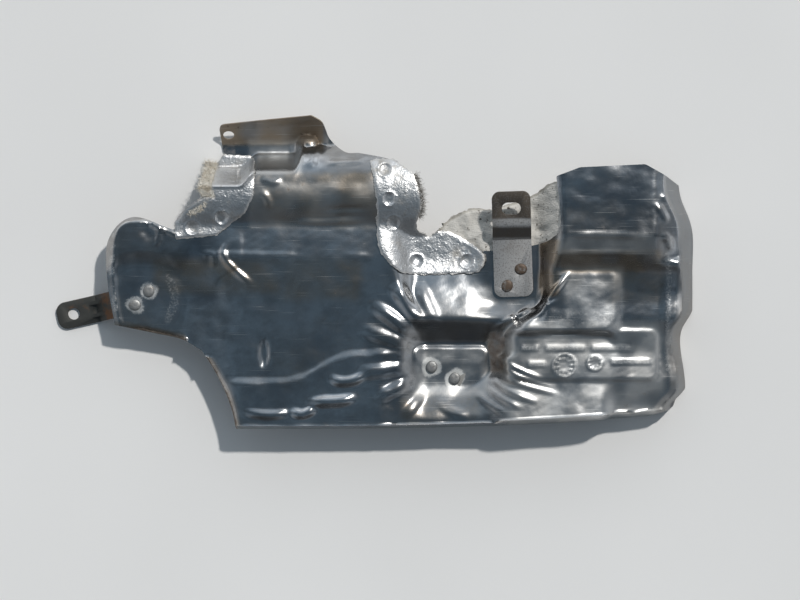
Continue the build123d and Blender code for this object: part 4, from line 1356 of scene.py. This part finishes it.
# %% Brackets
STRAP_BEVEL, TAB_BEVEL = 0.45, 0.4
STRAP_GREY, STRAP_DARK_AND_SHADE = (0.42, 0.415, 0.41), (0.05, 0.045, 0.042)
STRAP_STAIN, STRAP_GRIT = (0.15, 0.125, 0.10), (0.17, 0.16, 0.15)
TAB_DARK, TAB_RUST = (0.075, 0.076, 0.071), (0.14, 0.065, 0.028)


def soft_copy(node, name, width):
    """A copy of a CAD node with its points merged and its edges slightly rounded."""
    source = frame["nodes"][node]
    piece = bpy.data.objects.new(name, source.data.copy())
    bpy.context.collection.objects.link(piece)
    piece.matrix_world = source.matrix_world
    select_only(piece)
    bpy.ops.object.mode_set(mode="EDIT")
    bpy.ops.mesh.select_all(action="SELECT")
    bpy.ops.mesh.remove_doubles(threshold=0.00001)
    bpy.ops.mesh.dissolve_limited(angle_limit=math.radians(1))
    bpy.ops.object.mode_set(mode="OBJECT")
    bpy.ops.object.transform_apply(location=True, rotation=True, scale=True)
    bevel = piece.modifiers.new("soft_edges", "BEVEL")
    bevel.width = width * MM
    bevel.segments = 3
    bevel.limit_method = "ANGLE"
    bevel.angle_limit = math.radians(40)
    bpy.ops.object.modifier_apply(modifier=bevel.name)
    bpy.ops.object.shade_smooth_by_angle(angle=math.radians(35))
    return piece


def strap_steel(place):
    """Grey steel with painted shade where the strap turns up, a light band above it as a painted
    highlight, and a dark raised end that is partly painted shade.
    """
    across = place.along("Y")
    # Painted shade on the riser, a painted highlight left light above it, and the raised end dark,
    # partly as painted shade.
    shaded_bend = across.step(0.0205, 0.0225) * across.step(0.0285, 0.0265)
    top = (across.step(0.0320, 0.0340) + 0.7 * shaded_bend).clamp()
    cloud = place.noise(80, 4)
    stain = (cloud + 0.35 * top).step(0.52, 0.82)
    colour = (0.6 * stain).mix(top.mix(STRAP_GREY, STRAP_DARK_AND_SHADE), STRAP_STAIN)
    colour = (0.7 * place.noise(1300, 2).step(0.52, 0.64)).mix(colour, STRAP_GRIT)
    return {"Base Color": colour, "Metallic": 0.85, "Roughness": 0.42 + 0.2 * cloud,
            "Normal": bump(place.noise(1500, 2), 0.35, 0.0002)}


def tab_steel(place):
    """Nearly black steel with patchy rust round its bend."""
    along = place.along("X")
    bend = along.step(-0.172, -0.163) * along.step(-0.150, -0.156)
    cloud = place.noise(170, 5, 0.65)
    rust = (0.22 * bend + cloud).step(0.56, 0.84)
    return {"Base Color": rust.mix(TAB_DARK, TAB_RUST), "Metallic": 0.85 - 0.6 * rust,
            "Roughness": 0.42 + 0.3 * cloud, "Normal": bump(place.noise(1100, 2), 0.3, 0.0002)}


strap = soft_copy("strap_bracket", "strap", STRAP_BEVEL)
settle(strap, "strap_bracket", finish("strap_steel", strap_steel))
bolt_tab = soft_copy("tab_bracket", "bolt_tab", TAB_BEVEL)
settle(bolt_tab, "tab_bracket", finish("tab_steel", tab_steel))

# %% [markdown]
# ## Rivets
# Six like rivets hold the brackets and the backing plate. A rivet is a turned part, so half of
# its profile, from the top of the domed head down to the tail, is set round an upright axis. The
# heads are slightly oval, each in its own direction, as hammered ones are.

# %% Rivets
RIVET_SEATS = ((STRAP_RIVETS, 23.2), (TAB_RIVETS, 21), (POCKET_RIVETS, 18))
RIVET_PROFILE = ((0, 1), (1.4, 0.98), (2.6, 0.9), (3.2, 0.7), (3.5, 0.35), (3.6, 0.02), (2, 0),
                 (2, -3.4), (3, -3.4), (2.9, -4.2), (1.9, -4.5), (0, -4.5))
RIVET_SIDES, RIVET_OVAL = 28, 0.05
RIVET_GREY, RIVET_RUST = (0.30, 0.30, 0.295), (0.10, 0.07, 0.05)


def turned(points, faces, px, py, seat, oval):
    """Adds one rivet: a ring of points for every point of the profile, and faces between rings."""
    turns = np.arange(RIVET_SIDES) * 2 * math.pi / RIVET_SIDES
    wobble = 1 + RIVET_OVAL * np.sin(turns * 2 + oval)
    rows = []
    for r, z in RIVET_PROFILE:
        first = len(points)
        if r == 0:
            points.append((px, py, seat + z))
            rows.append([first] * RIVET_SIDES)
            continue
        size = r * (wobble if z > -0.1 and r > 2.5 else np.ones(RIVET_SIDES))
        ring = zip(px + size * np.cos(turns), py + size * np.sin(turns))
        points.extend((x, y, seat + z) for x, y in ring)
        rows.append(list(range(first, first + RIVET_SIDES)))
    for upper, lower in zip(rows, rows[1:]):
        for k in range(RIVET_SIDES):
            m = (k + 1) % RIVET_SIDES
            corners = (upper[k], lower[k], lower[m], upper[m])
            faces.append(tuple(dict.fromkeys(corners)))


def turn_rivets():
    points, faces = [], []
    rng = np.random.default_rng(91)
    for spots, seat in RIVET_SEATS:
        for px, py in spots:
            turned(points, faces, px, py, seat, rng.uniform(0, 6))
    piece = drawn_piece("rivet_set", points, faces)
    bpy.ops.object.shade_smooth_by_angle(angle=math.radians(40))
    return piece


def rivet_steel(place):
    """Grey steel, browner on the rivets of the strap."""
    cloud = place.noise(520, 4)
    rust = (0.32 * place.along("X").step(0.060, 0.070) + cloud).step(0.55, 0.85)
    return {"Base Color": rust.mix(RIVET_GREY, RIVET_RUST), "Metallic": 0.9 - 0.5 * rust,
            "Roughness": 0.38 + 0.25 * cloud, "Normal": bump(cloud, 0.5, 0.0004)}


settle(turn_rivets(), "rivets", finish("rivet_steel", rivet_steel))

# %% [markdown]
# ## The hidden plate
# The backing plate under the pocket is a plain flat plate that no photograph shows, so it keeps
# its CAD shape and only gets a plain steel finish.

# %% Backing plate
PLATE_PALE, PLATE_DARK = (0.42, 0.42, 0.41), (0.30, 0.29, 0.27)


def plate_steel(place):
    cloud = place.noise(60, 4)
    return {"Base Color": cloud.step(0.3, 0.7).mix(PLATE_PALE, PLATE_DARK),
            "Metallic": 0.9, "Roughness": 0.45 + 0.2 * cloud}


plate = frame["nodes"]["pocket_backing_plate"].data
plate.materials.clear()
plate.materials.append(finish("plate_steel", plate_steel))
print("the backing plate is finished as the CAD made it")
